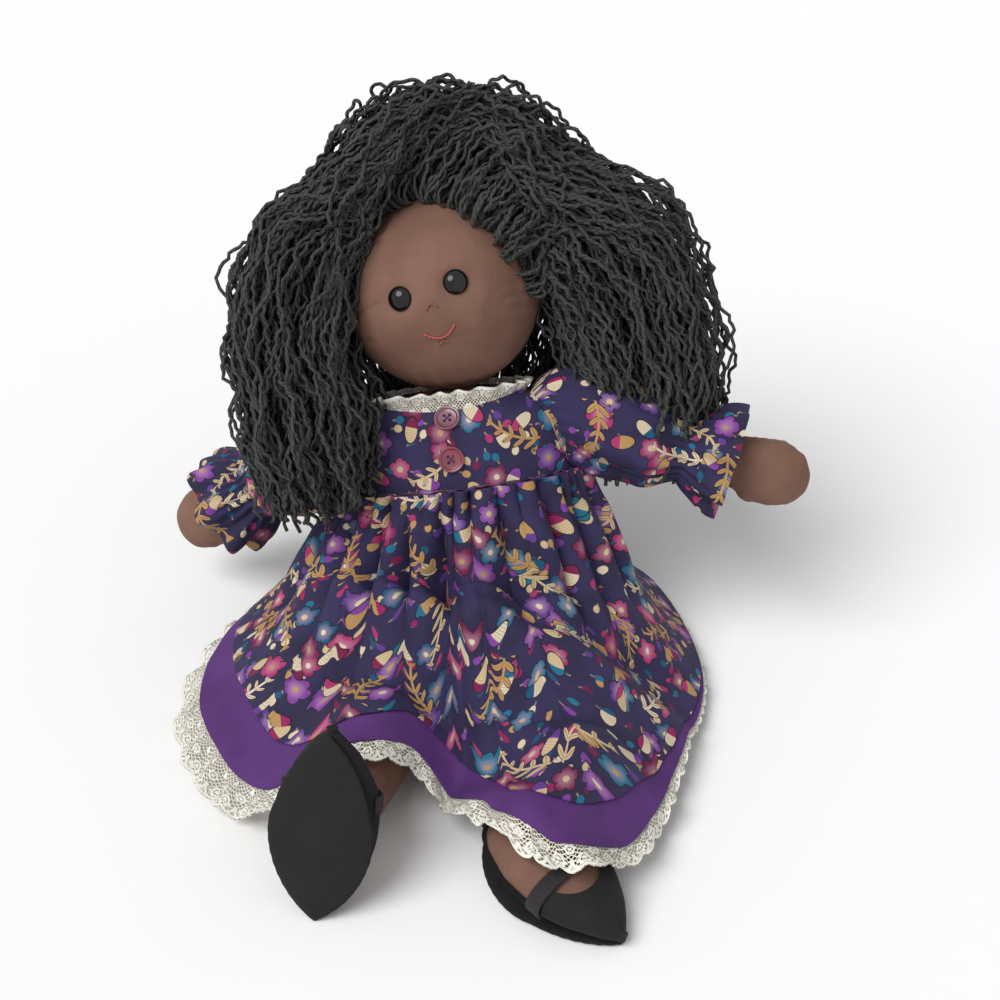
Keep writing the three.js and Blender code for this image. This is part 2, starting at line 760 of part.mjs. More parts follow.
function hipFrame(name, side) {
  const frame = new THREE.Group();
  frame.position.set(seatX + (side * hipSpacing) / 2, seatY - hipForward, hipHeight);
  doll.add(frame);
  hips[name] = frame;
  const foot = new THREE.Group();
  const place = footPlace[name];
  foot.position.set(place.x, place.y, place.z).sub(frame.position);
  foot.rotation.set(-place.lift, 0, place.yaw, 'ZYX');
  frame.add(foot);
  feet[name] = foot;
}

// Half width and height of the foot at a share from heel to toe
const footWidth = (share) => Math.sin(Math.PI * share) ** leafFullness * footHalfWidth * footWidthShare;
const footTop = (share) => between(footTopShares, share) * footHeight;

function footRings(offset, lift) {
  return Array.from({ length: footStations + 1 }, (_, i) => {
    const share = (1 - Math.cos((Math.PI * i) / footStations)) / 2;
    const y = footLength * (0.5 - share) + (i === 0 ? offset : i === footStations ? -offset : 0);
    const halfWidth = Math.max(footWidth(share), shoeThickness) + offset;
    const top = footTop(share) + offset;
    const bottom = lift - offset;
    const middle = new THREE.Vector3(0, y, (top + bottom) / 2);
    const across = new THREE.Vector3(1, 0, 0);
    const upward = new THREE.Vector3(0, 0, 1);
    return ellipse(middle, across, upward, halfWidth, (top - bottom) / 2, footSides);
  });
}

const footForm = (offset) => solid(skin(footRings(offset, soleThickness + shoeThickness + 2 * seatGap)));

function legCurve(name) {
  const place = footPlace[name];
  const foot = feet[name];
  const ankle = new THREE.Vector3(0, ankleSetback, footHeight * ankleShare).applyMatrix4(foot.matrix);
  const knee = ankle.clone().multiplyScalar(0.5).add(new THREE.Vector3(place.kneeX, 0, place.kneeZ));
  return new THREE.CatmullRomCurve3([new THREE.Vector3(), knee, ankle]);
}

const legSize = (share) => {
  const thigh = [legRadius * thighShare, legRadius];
  const shin = [kneeRadius, kneeRadius * calfShare, ankleRadius * shinShare, ankleRadius];
  const radius = between([...thigh, ...shin], share);
  return [radius, radius];
};

function legForm(name, offset) {
  const size = (share) => legSize(share).map((radius) => radius + offset);
  return solid(skin(ringsAlong(legCurve(name), legSteps, legSides, size)));
}

function buildLeg(name) {
  const frame = hips[name];
  const foot = feet[name];
  foot.updateMatrix();
  const kept = atWorld(ball(legRootRadius + rootMargin, 'x'), frame);
  const trunk = atWorld(torsoForm(seatGap), seat).subtract(kept);
  const met = swept(trunk, frame, 'x', -legLimits.lower, legLimits.raise);
  const root = atWorld(ball(legRootRadius, 'x'), frame);
  const instep = atWorld(footForm(0), foot);
  const leg = atWorld(legForm(name, 0), frame).add(root).subtract(met).add(instep).subtract(floorSlab);
  add(frame, `leg_${name}`, toFrame(largestOf(leg), frame), brownCotton);
}

// Leaf outline of the sole, pointed at both ends
function leafShape(offset) {
  const half = footLength / 2 + offset;
  const wide = footHalfWidth + offset;
  const side = leafShares.map(([x, y]) => [wide * x, half * y]);
  const other = [[0, half], ...side].reverse().slice(1).map(([x, y]) => [-x, y]);
  const shape = new THREE.Shape();
  shape.moveTo(0, half);
  for (const points of [side, other]) {
    for (let i = 0; i < points.length; i += 3) shape.bezierCurveTo(...points.slice(i, i + 3).flat());
  }
  return shape;
}

function buildShoe(name) {
  const foot = feet[name];
  const soleGeometry = new THREE.ExtrudeGeometry(leafShape(-soleThickness / 3), {
    depth: soleThickness / 3,
    bevelThickness: soleThickness / 3,
    bevelSize: soleThickness / 3,
    bevelSegments: 2,
    curveSegments: 5,
  });
  const sole = solid(soleGeometry).translate([0, 0, soleThickness / 3]);
  const opening = new THREE.Shape();
  opening.moveTo(openingHalfWidth, footLength);
  opening.lineTo(openingHalfWidth, -openingToe + openingHalfWidth);
  opening.absarc(0, -openingToe + openingHalfWidth, openingHalfWidth, 0, -Math.PI, true);
  opening.lineTo(-openingHalfWidth, footLength);
  const cut = { depth: overrun, bevelEnabled: false, curveSegments: 7 };
  const mouth = solid(new THREE.ExtrudeGeometry(opening, cut)).translate([0, 0, wallHeight]);
  const collar = solid(new THREE.BoxGeometry(footLength, footLength, overrun))
    .translate([0, (footLength - strapWidth) / 2 - strapForward - seatGap, overrun / 2 + wallHeight]);
  const legHole = legForm(name, seatGap).transform(foot.matrix.clone().invert().elements);
  const shoe = footForm(shoeThickness)
    .subtract(footForm(seatGap))
    .subtract(mouth)
    .subtract(collar)
    .subtract(legHole);
  add(foot, `sole_${name}`, grounded(sole, foot), blackCotton);
  add(foot, `shoe_${name}`, largestOf(grounded(shoe, foot)), blackCotton);
  buildStrap(name, foot);
}

function largestOf(manifold) {
  const parts = manifold.decompose();
  return parts.reduce((best, part) => (part.volume() > best.volume() ? part : best));
}

// A flat elastic from wall to wall over the instep
function buildStrap(name, foot) {
  const share = 0.5 + strapForward / footLength;
  const bottom = soleThickness + shoeThickness + 2 * seatGap;
  const halfWidth = footWidth(share) + 2 * seatGap;
  const halfHeight = (footTop(share) - bottom) / 2 + 2 * seatGap;
  const middle = (footTop(share) + bottom) / 2;
  const start = Math.asin((wallHeight + seatGap - middle) / halfHeight);
  const rings = Array.from({ length: strapSteps + 1 }, (_, i) => {
    const angle = start + (Math.PI - 2 * start) * (i / strapSteps);
    return [[0, -1], [0, 1], [1, 1], [1, -1]].map(([thick, wide]) => new THREE.Vector3(
      (halfWidth + thick * strapThickness) * Math.cos(angle),
      -strapForward + (wide * strapWidth) / 2,
      middle + (halfHeight + thick * strapThickness) * Math.sin(angle),
    ));
  });
  const legHole = legForm(name, seatGap).transform(foot.matrix.clone().invert().elements);
  const strap = solid(skin(rings)).subtract(footForm(seatGap)).subtract(legHole);
  add(foot, `strap_${name}`, largestOf(grounded(strap, foot)), blackElastic);
}

// Bodice panels, with the neckline and the armholes cut out
function buildBodice() {
  const outer = torsoForm(bodiceClearance + clothThickness);
  const inner = torsoForm(bodiceClearance);
  const slab = solid(new THREE.BoxGeometry(overrun, overrun, bodiceLength))
    .translate([0, 0, yokeSeam + bodiceLength / 2]);
  const necklineHeights = [yokeSeam + bodiceLength * necklineShare, neckPivot + headRise];
  const neckline = solid(skin(necklineHeights.map((height) => ellipse(
    new THREE.Vector3(0, 0, height),
    new THREE.Vector3(1, 0, 0),
    new THREE.Vector3(0, 1, 0),
    necklineHalfWidth,
    necklineHalfDepth,
    torsoSides,
  ))));
  let cloth = outer.subtract(inner).intersect(slab).subtract(neckline);
  for (const [name, side] of sides) {
    const hole = solid(new THREE.CylinderGeometry(armholeRadius, armholeRadius, overrun, torsoSides))
      .rotate([0, 0, 90]);
    const outerHalf = hole.trimByPlane([side, 0, 0], -armholeRadius / 2);
    cloth = cloth.subtract(toFrame(atWorld(outerHalf, shoulders[name]), seat));
    const root = atWorld(ball(armRootRadius + layerGap, 'y'), shoulderPivots[name]);
    cloth = cloth.subtract(toFrame(root, seat));
  }
  const front = cloth.trimByPlane([0, -1, 0], panelGap / 2);
  const back = cloth.trimByPlane([0, 1, 0], panelGap / 2);
  add(seat, 'bodice_front', largestOf(front), printCotton);
  add(seat, 'bodice_back_left', largestOf(back.trimByPlane([1, 0, 0], panelGap / 2)), printCotton);
  add(seat, 'bodice_back_right', largestOf(back.trimByPlane([-1, 0, 0], panelGap / 2)), printCotton);
}

// The depth of the dressed chest, in front or behind, at a height on the trunk
function chestDepth(height) {
  const share = Math.min(height / torsoHeight, 1);
  const row = torsoShares.findIndex(([rise]) => rise >= share);
  const [riseA, , depthA] = torsoShares[row - 1];
  const [riseB, , depthB] = torsoShares[row];
  const depth = depthA + ((depthB - depthA) * (share - riseA)) / (riseB - riseA);
  return torsoHalfDepth * depth + bodiceClearance + clothThickness;
}

function chestSlope(height) {
  const step = buttonRadius;
  return Math.atan((chestDepth(height - step) - chestDepth(height + step)) / (2 * step));
}

function buttonForm() {
  const inner = buttonRadius - buttonRim;
  const form = revolve(
    [[0, 0], [buttonRadius - buttonRim / 2, 0], [buttonRadius, buttonThickness / 3],
      [buttonRadius, (2 * buttonThickness) / 3], [buttonRadius - buttonRim / 2, buttonThickness],
      [inner, buttonThickness], [inner - buttonRim / 2, buttonThickness - buttonDish],
      [0, buttonThickness - buttonDish]],
    buttonSides,
  );
  return [0, 1, 2, 3].reduce((rest, i) => {
    const angle = (TURN * i) / 4;
    const hole = post(buttonHoleRadius, -buttonThickness, 2 * buttonThickness, buttonSides / 3);
    const reach = buttonHoleSpacing / Math.SQRT2;
    return rest.subtract(hole.translate([reach * Math.cos(angle), reach * Math.sin(angle), 0]));
  }, form);
}

function buildButtons() {
  const dress = { upper: roseButton, lower: redButton };
  for (const [name, drop] of Object.entries(buttonDrops)) {
    const height = bodiceTop - drop;
    const mesh = add(seat, `button_${name}`, buttonForm(), dress[name]);
    mesh.position.set(0, -chestDepth(height) - 3 * seatGap, height);
    mesh.rotation.set(Math.PI / 2 - chestSlope(height), 0, 0);
  }
}

function buildSnap() {
  const height = bodiceTop - snapDrop;
  const depth = chestDepth(height) + 2 * seatGap;
  const stud = add(seat, 'snap_stud', post(snapRadius, 0, snapThickness, eyeSides / 2), snapMetal);
  stud.position.set(-snapRadius - seatGap, depth, height);
  stud.rotation.set(-Math.PI / 2 + chestSlope(height), 0, 0);
  const ring = post(snapRadius, 0, snapThickness, eyeSides / 2)
    .subtract(post(snapRadius / 3, -snapThickness, 2 * snapThickness, eyeSides / 2));
  const socket = add(seat, 'snap_socket', ring, snapMetal);
  socket.position.set(snapRadius + seatGap, depth, height);
  socket.rotation.set(-Math.PI / 2 + chestSlope(height), 0, 0);
}

function buildNeckLace() {
  const steps = neckLaceWaves * 4;
  const columnsAt = (lift) => Array.from({ length: steps }, (_, i) => {
    const angle = (TURN * i) / steps;
    const wave = neckLaceWave * Math.sin(neckLaceWaves * angle);
    const spot = (out, height) => new THREE.Vector3(
      (necklineHalfWidth + out) * Math.cos(angle),
      (necklineHalfDepth + out) * Math.sin(angle),
      height + lift,
    );
    const low = bodiceTop - 2 * seatGap;
    return [spot(-layerGap, low), spot(neckLaceFlare + wave, low + neckLaceWidth + wave / 2)];
  });
  const trunk = torsoForm(bodiceClearance + clothThickness + seatGap);
  const lace = solid(shell(columnsAt(laceThickness), columnsAt(0))).subtract(trunk);
  const clear = atWorld(lace, seat).subtract(atWorld(headForm(seatGap), head));
  add(seat, 'neck_lace', toFrame(largestOf(clear), seat), creamLace);
}

// Drape: one master surface from the yoke seam to the lace's edge, shared by all layers
const hemCurveOf = (values, turn) => {
  const bearing = ((turn * 360) % 360 + 360) % 360;
  const count = hemBearings.length;
  const next = hemBearings.findIndex((mark) => mark > bearing);
  const b = next === -1 ? 0 : next;
  const a = (b + count - 1) % count;
  const before = (a + count - 1) % count;
  const after = (b + 1) % count;
  const span = (hemBearings[b] - hemBearings[a] + 360) % 360;
  const rest = ((bearing - hemBearings[a] + 360) % 360) / span;
  const slopeA = (values[b] - values[before]) / 2;
  const slopeB = (values[after] - values[a]) / 2;
  const r2 = rest * rest;
  const r3 = r2 * rest;
  return values[a] * (2 * r3 - 3 * r2 + 1) + slopeA * (r3 - 2 * r2 + rest)
    + values[b] * (3 * r2 - 2 * r3) + slopeB * (r3 - r2);
};

// Bearing 0 is ahead of the doll, and a quarter turn is on its left
const bearingVector = (turn) => new THREE.Vector3(Math.sin(TURN * turn), -Math.cos(TURN * turn), 0);

const underfoot = [];

// Height of the cloth where a leg or a foot holds it up like a tent
function coverHeight(x, y) {
  return underfoot.reduce((height, { point, radius }) => {
    const reach = radius + legCover;
    const gap = Math.hypot(x - point.x, y - point.y);
    return Math.max(height, (point.z + reach) * bell(gap, reach * coverSpread));
  }, 0);
}

function findUnderfoot() {
  const steps = legSteps * 3;
  for (const name of Object.keys(hips)) {
    const curve = legCurve(name);
    for (let i = 0; i <= steps; i += 1) {
      const point = curve.getPointAt(i / steps).applyMatrix4(matrixOf(hips[name]));
      underfoot.push({ point, radius: legSize(i / steps)[0] });
    }
    for (let i = 1; i < footStations; i += 1) {
      const share = i / footStations;
      const radius = Math.min(footTop(share) / 2, footWidth(share));
      const spot = new THREE.Vector3(0, footLength * (0.5 - share), footTop(share) - radius);
      underfoot.push({ point: spot.applyMatrix4(matrixOf(feet[name])), radius: radius + shoeThickness });
    }
  }
}

function drapePoint(turn, share) {
  const out = bearingVector(turn);
  const yokeHalfWidth = torsoHalfWidth * yokeWidthShare + bodiceClearance + clothThickness;
  const yokeHalfDepth = chestDepth(yokeSeam);
  const start = new THREE.Vector3(
    (yokeHalfWidth + layerGap) * out.x,
    (yokeHalfDepth + layerGap) * out.y,
    yokeSeam - seatGap,
  ).applyMatrix4(seat.matrixWorld);
  const reach = hemCurveOf(hemReach, turn);
  const end = new THREE.Vector3(seatX + reach * out.x, seatY + reach * out.y, hemCurveOf(hemLift, turn));
  const hang = start.clone().addScaledVector(out, drapeSpread * hangShare);
  hang.z -= drapeDrop;
  const lay = start.clone().lerp(end, lapShare);
  lay.z = Math.max(lapHeight * (1 - lapShare), end.z + hemHeight);
  const point = new THREE.CubicBezierCurve3(start, hang, lay, end).getPoint(share);
  const wave = Math.sin(TURN * foldCount * turn + foldSway * Math.sin(2 * TURN * turn)) * foldDepth;
  const grow = Math.min(1, share * foldGrowth) * (1 - foldLossShare * share);
  point.addScaledVector(out, wave * grow * (1 - foldLevelShare * share));
  point.z = Math.max(hemHeight, point.z + wave * grow * foldRiseShare);
  const cover = coverHeight(point.x, point.y);
  const onLap = THREE.MathUtils.smoothstep(share, ...lapShares);
  point.z += (smoothMax(point.z, cover, legBlend) - point.z) * onLap;
  return point;
}

// The drape lifted off itself: outwards where it hangs, and upwards where it lies
function drapeLayer(turn, share, lift) {
  const lying = THREE.MathUtils.smoothstep(share, 0, lyingShare);
  const angle = THREE.MathUtils.lerp(hangingLift, lyingLift, lying);
  const direction = bearingVector(turn).multiplyScalar(Math.cos(angle)).setZ(Math.sin(angle));
  return drapePoint(turn, share).addScaledVector(direction, lift);
}

const shareBefore = (values, turn) => (
  1 - hemCurveOf(values, turn) / (hemCurveOf(hemReach, turn) * drapeLengthShare)
);

// Rows of the drape that all layers share: the printed skirt's, the plain one's and the lace's
function drapeShares(turn) {
  const skirtEnd = shareBefore(skirtShort, turn);
  const underEnd = shareBefore(underShort, turn);
  const laceStart = Math.max(underEnd - laceOverlap / hemCurveOf(hemReach, turn), (skirtEnd + underEnd) / 2);
  return [
    ...Array.from({ length: skirtRows + 1 }, (_, j) => (skirtEnd * j) / skirtRows),
    laceStart,
    underEnd,
    (underEnd + 1) / 2,
    1,
  ];
}

// One layer of the dress, between two of the drape's rows
function layer(firstRow, lastRow, lift, thickness) {
  const columnsAt = (height) => Array.from({ length: drapeSides }, (_, i) => {
    const turn = i / drapeSides;
    return drapeShares(turn).slice(firstRow, lastRow + 1).map((share) => drapeLayer(turn, share, height));
  });
  return solid(shell(columnsAt(lift + thickness), columnsAt(lift)));
}

// All that lies under the dress, as one solid
function drapeBulk(lift) {
  const rings = Array.from({ length: skirtRows + 1 }, (_, j) => (
    Array.from({ length: drapeSides }, (__, i) => {
      const turn = i / drapeSides;
      return drapeLayer(turn, drapeShares(turn)[j], lift);
    })
  ));
  return solid(skin(rings));
}

const underLift = clothThickness + layerGap;
const skirtLift = 2 * underLift;
const overSkirt = skirtLift + clothThickness + layerGap;

function buildDress() {
  findUnderfoot();
  const blockers = [atWorld(torsoForm(seatGap), seat)];
  for (const name of Object.keys(hips)) {
    blockers.push(atWorld(legForm(name, seatGap), hips[name]));
    blockers.push(atWorld(footForm(shoeThickness + seatGap), feet[name]));
  }
  const clear = (manifold) => largestOf(blockers.reduce((rest, form) => rest.subtract(form), manifold));
  const underRow = skirtRows + 2;
  add(doll, 'skirt', clear(layer(0, skirtRows, skirtLift, clothThickness)), printCotton);
  add(doll, 'underskirt', clear(layer(0, underRow, underLift, clothThickness)), purpleCotton);
  add(doll, 'hem_lace', clear(layer(underRow - 1, underRow + 2, 0, laceThickness)), creamLace);
}

// Hair volumes
function crownForm(offset) {
  const ball = solid(new THREE.SphereGeometry(1, hairSides, hairSides / 2));
  return ball
    .scale([crownHalf.x + offset, crownHalf.y + offset, crownHalf.z + offset])
    .translate([crownShift.x, crownShift.y, crownShift.z]);
}

function hairForm({ points, widthShares, width, depth }, offset) {
  const curve = new THREE.CatmullRomCurve3(points.map((point) => new THREE.Vector3(...point)));
  const side = new THREE.Vector3(1, 0, 0);
  const rings = Array.from({ length: hairSteps + 1 }, (_, i) => {
    const share = i / hairSteps;
    const tangent = curve.getTangentAt(share);
    const along = new THREE.Vector3().crossVectors(side, tangent).normalize();
    const across = new THREE.Vector3().crossVectors(tangent, along).normalize();
    const size = between(widthShares, share);
    const spot = curve.getPointAt(share);
    return ellipse(spot, across, along, size * width + offset, size * depth + offset, hairSides);
  });
  return solid(skin(rings));
}

function buildHair(blockers) {
  const clear = (manifold) => largestOf(blockers.reduce(
    (rest, form) => rest.subtract(toFrame(form, hair)),
    manifold,
  ));
  const window = solid(new THREE.BoxGeometry(2 * faceWindow.width, overrun, overrun))
    .translate([0, faceWindow.back - overrun / 2, faceWindow.top - overrun / 2]);
  const faceCut = toFrame(atWorld(window, head), hair);
  add(hair, 'hair_crown', clear(crownForm(0).subtract(faceCut)), blackYarn);
  let taken = crownForm(hairGap);
  for (const [name, route] of Object.entries(hairRoutes)) {
    add(hair, name, clear(hairForm(route, 0).subtract(taken).subtract(faceCut)), blackYarn);
    taken = taken.add(hairForm(route, hairGap));
  }
}

// Assembly
const sides = [['left', 1], ['right', -1]];
for (const [name, side] of sides) {
  shoulderFrame(name, side);
  hipFrame(name, side);
  buildLeg(name);
  buildShoe(name);
}
buildTorso();
buildHead();
buildFaceStitches();
buildBodice();
buildButtons();
buildSnap();
buildNeckLace();
doll.updateMatrixWorld(true);
buildDress();
for (const [name, side] of sides) {
  buildArm(name, side);
  buildSleeve(name, side);
}

const collarHeights = [bodiceTop - 2 * neckLaceWidth, bodiceTop + 2 * neckLaceWidth];
const collar = solid(skin(collarHeights.map((height) => ellipse(
  new THREE.Vector3(0, 0, height),
  new THREE.Vector3(1, 0, 0),
  new THREE.Vector3(0, 1, 0),
  necklineHalfWidth + neckLaceFlare + 2 * neckLaceWave,
  necklineHalfDepth + neckLaceFlare + 2 * neckLaceWave,
  torsoSides,
))));
const hairBlockers = [
  atWorld(headForm(seatGap), head),
  atWorld(collar, seat),
  drapeBulk(skirtLift + clothThickness + layerGap),
  swept(
    atWorld(torsoForm(bodiceClearance + clothThickness + neckLaceFlare), seat),
    neck,
    'x',
    -nodLimits.forward,
    nodLimits.back,
  ),
];
for (const [name, side] of sides) {
  const sleeve = solid(skin(sleeveRings(name, side, clothThickness + sleeveFoldDepth + seatGap, false)));
  hairBlockers.push(atWorld(sleeve, shoulders[name]));
  hairBlockers.push(atWorld(armForm(side, layerGap), shoulders[name]));
}
buildHair(hairBlockers);

// The origin is below the middle of the whole doll, on the ground
doll.updateMatrixWorld(true);
const bounds = new THREE.Box3().setFromObject(doll, true);
const middle = bounds.getCenter(new THREE.Vector3());
doll.position.set(-middle.x, -middle.y, -bounds.min.z);
doll.updateMatrixWorld(true);

export default doll;
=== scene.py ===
"""Rag doll, seated in a gathered dress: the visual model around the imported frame.

Shapes are worked out in millimetres in the frames of the doll's own parts, and made in metres, +Z up.
"""
import json
import logging
import math
from collections.abc import Callable, Iterator
from contextlib import contextmanager
from dataclasses import dataclass, field
from enum import Enum, StrEnum
from functools import partialmethod

import bmesh
import bpy
import numpy as np
from mathutils import Matrix, Vector


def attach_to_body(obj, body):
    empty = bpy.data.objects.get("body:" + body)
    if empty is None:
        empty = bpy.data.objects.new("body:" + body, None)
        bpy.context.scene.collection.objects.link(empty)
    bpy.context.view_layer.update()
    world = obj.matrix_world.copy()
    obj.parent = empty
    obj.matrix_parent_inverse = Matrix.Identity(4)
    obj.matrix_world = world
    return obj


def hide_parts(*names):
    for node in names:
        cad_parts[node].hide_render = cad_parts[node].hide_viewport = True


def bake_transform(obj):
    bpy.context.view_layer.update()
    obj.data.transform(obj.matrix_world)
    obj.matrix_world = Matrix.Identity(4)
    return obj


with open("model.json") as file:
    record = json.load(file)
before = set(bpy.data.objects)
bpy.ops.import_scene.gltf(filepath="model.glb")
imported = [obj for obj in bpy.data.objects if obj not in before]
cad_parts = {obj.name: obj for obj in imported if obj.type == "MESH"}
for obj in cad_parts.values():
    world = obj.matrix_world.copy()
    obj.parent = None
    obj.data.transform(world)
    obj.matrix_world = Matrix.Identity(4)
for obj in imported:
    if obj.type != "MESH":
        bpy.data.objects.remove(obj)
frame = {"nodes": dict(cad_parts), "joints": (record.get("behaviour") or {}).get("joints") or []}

log = logging.getLogger("rag_doll")
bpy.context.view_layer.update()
MM = 0.001
TURN = 2 * math.pi


# Number helpers

def smooth(value: np.ndarray, low: float, high: float) -> np.ndarray:
    """The smooth step from 0 at low to 1 at high."""
    t = np.clip((np.asarray(value, float) - low) / (high - low), 0, 1)
    return t * t * (3 - 2 * t)


def bell(distance: np.ndarray, radius: float) -> np.ndarray:
    """A bell that is 1 at no distance and fades over the radius."""
    return np.exp(-((np.asarray(distance, float) / radius) ** 2))


def unit(vectors: np.ndarray) -> np.ndarray:
    """Vectors scaled to length 1."""
    return vectors / np.maximum(np.linalg.norm(vectors, axis=-1, keepdims=True), 1e-9)


def spline(points: np.ndarray, count: int) -> np.ndarray:
    """Smooth curves through rows of points.

    Args:
        points: control points, shape (..., k, 3).
        count: how many points each curve is sampled at.

    Returns:
        The curves' points, shape (..., count, 3).
    """
    points = np.asarray(points, float)
    last = points.shape[-2] - 1
    t = np.linspace(0, last, count)
    i = np.minimum(t.astype(int), last - 1)
    r = (t - i)[:, None]
    a, b, c, d = (points[..., np.clip(i + step, 0, last), :] for step in (-1, 0, 1, 2))
    return 0.5 * (2 * b + (c - a) * r + (2 * a - 5 * b + 4 * c - d) * r**2 + (3 * b - a - 3 * c + d) * r**3)


def stacked(*parts: "np.ndarray | float") -> np.ndarray:
    """Points from their coordinates, each spread to the shape of all."""
    return np.stack(np.broadcast_arrays(*parts), -1)


def eased(values: tuple, share: np.ndarray) -> np.ndarray:
    """Values spread evenly over shares from 0 to 1, with a smooth step from each to the next."""
    values = np.array(values, float)
    spot = np.clip(share, 0, 1) * (len(values) - 1)
    row = np.minimum(spot.astype(int), len(values) - 2)
    return values[row] + (values[row + 1] - values[row]) * smooth(spot - row, 0, 1)


def closed_faces(rings: int, around: int) -> list[list[int]]:
    """Faces of a closed form of rings of points: the bands between rings, then both ends."""
    spots = np.arange(rings * around).reshape(rings, around)
    after = np.roll(spots, -1, axis=1)
    bands = np.stack([spots[:-1], after[:-1], after[1:], spots[1:]], -1).reshape(-1, 4)
    return [*bands.tolist(), spots[0, ::-1].tolist(), spots[-1].tolist()]


def along(line: np.ndarray) -> np.ndarray:
    """The length run at each point of lines of shape (..., m, 3)."""
    steps = np.linalg.norm(np.diff(line, axis=-2), axis=-1)
    return np.concatenate([np.zeros(steps.shape[:-1] + (1,)), np.cumsum(steps, axis=-1)], axis=-1)


def carried_normals(line: np.ndarray) -> tuple[np.ndarray, np.ndarray]:
    """Two normals that don't twist along lines of shape (n, m, 3)."""
    tangent = unit(np.gradient(line, axis=1))
    normal = np.empty_like(line)
    carried = np.cross(tangent[:, 0], [0.31, 0.83, 0.46])
    for j in range(line.shape[1]):
        step = tangent[:, j]
        carried = unit(carried - (carried * step).sum(-1, keepdims=True) * step)
        normal[:, j] = carried
    return normal, np.cross(tangent, normal)


# Frames of the doll's parts, in millimetres

@dataclass(frozen=True)
class Place:
    """A frame of the doll: where its own millimetres lie in the row's."""

    matrix: Matrix

    def of(self, points: np.ndarray) -> np.ndarray:
        """Points of this frame in the row's frame."""
        m = np.array(self.matrix)
        return np.asarray(points, float) @ m[:3, :3].T + m[:3, 3]

    def back(self, points: np.ndarray) -> np.ndarray:
        """Points of the row's frame in this frame."""
        m = np.array(self.matrix.inverted())
        return np.asarray(points, float) @ m[:3, :3].T + m[:3, 3]

    def step(self, spot: tuple = (0, 0, 0), **degrees: float) -> "Place":
        """A frame carried by this one, at a spot and turned about x, y or z in the order given."""
        matrix = self.matrix @ Matrix.Translation(spot)
        for axis, angle in degrees.items():
            matrix = matrix @ Matrix.Rotation(math.radians(angle), 4, axis.upper())
        return Place(matrix)


def joint_spot(name: str) -> Vector:
    """A joint's place in the row's frame, in millimetres."""
    found = next(joint for joint in frame["joints"] if joint["name"] == name)
    return Vector(found["pos_m"]) / MM


class Side(StrEnum):
    """The doll's own sides: its left is +X."""

    LEFT = "left"
    RIGHT = "right"

    @property
    def sign(self) -> int:
        """+1 on the doll's left, -1 on its right."""
        return 1 if self is Side.LEFT else -1


NECK_PIVOT = (4, 0, 147)
HEAD_RISE = 68
SHOULDER = (62, 143)
TRUNK_TURN = Place(Matrix.Identity(4)).step(y=-8, x=-22)
SEAT_SPOT = joint_spot("neck_nod") - TRUNK_TURN.matrix @ Vector(NECK_PIVOT)
SEAT = Place(Matrix.Translation(SEAT_SPOT) @ TRUNK_TURN.matrix)
HEAD = SEAT.step((NECK_PIVOT[0], 0, NECK_PIVOT[2] + HEAD_RISE), y=-9.5, x=-6, z=-3)
HAIR = Place(Matrix.Translation(HEAD.matrix.translation))
ARMS = {
    Side.LEFT: SEAT.step((SHOULDER[0], 0, SHOULDER[1]), z=-3, y=23.5),
    Side.RIGHT: SEAT.step((-SHOULDER[0], 0, SHOULDER[1]), z=-26, y=-23.5),
}
HIPS = {side: joint_spot(f"hip_{side}") for side in Side}
FEET = {
    Side.LEFT: Place(Matrix.Translation(HIPS[Side.LEFT])).step((5, -134, -20.5), z=42),
    Side.RIGHT: Place(Matrix.Translation(HIPS[Side.RIGHT])).step((-50, -138, 24), z=-14, x=-113),
}


# Materials: one class wraps a socket, one makes nodes

class Value:
    """A socket that Python's operators work on: each operator adds its Math node."""

    def __init__(self, graph: "Graph", socket: bpy.types.NodeSocket) -> None:
        self.graph = graph
        self.socket = socket

    def math(self, operation: str, *others: "Value | float") -> "Value":
        """A Math node on this value and others."""
        inputs = dict(enumerate([self, *others]))
        return self.graph.node("ShaderNodeMath", {"operation": operation}, inputs)[0]

    __add__ = partialmethod(math, "ADD")
    __radd__ = partialmethod(math, "ADD")
    __mul__ = partialmethod(math, "MULTIPLY")
    __rmul__ = partialmethod(math, "MULTIPLY")
    __sub__ = partialmethod(math, "SUBTRACT")
    __truediv__ = partialmethod(math, "DIVIDE")
    __pow__ = partialmethod(math, "POWER")
    __gt__ = partialmethod(math, "GREATER_THAN")
    __lt__ = partialmethod(math, "LESS_THAN")
    __abs__ = partialmethod(math, "ABSOLUTE")
    sin = partialmethod(math, "SINE")
    cos = partialmethod(math, "COSINE")

    def __rsub__(self, other: float) -> "Value":
        """A number less this value."""
        return (self * -1) + other

    def most(self, *others: "Value") -> "Value":
        """The greatest of this value and others."""
        found = self
        for other in others:
            found = found.math("MAXIMUM", other)
        return found

    def wrapped(self, period: float) -> "Value":
        """The distance from the middle of each period."""
        return self.math("WRAP", period / 2, -period / 2)

    def step(self, low: float, high: float) -> "Value":
        """The smooth step from 0 at low to 1 at high, or down where high is less."""
        down = high < low
        inputs = {"Value": self, "From Min": min(low, high), "From Max": max(low, high)}
        made = self.graph.node("ShaderNodeMapRange", {"interpolation_type": "SMOOTHSTEP"}, inputs)[0]
        return 1 - made if down else made


class Made:
    """A node's outputs, each by its name or place."""

    def __init__(self, graph: "Graph", node: bpy.types.Node) -> None:
        self.graph = graph
        self.node = node

    def __getitem__(self, key: "str | int") -> Value:
        """One output as a value."""
        return Value(self.graph, self.node.outputs[key])


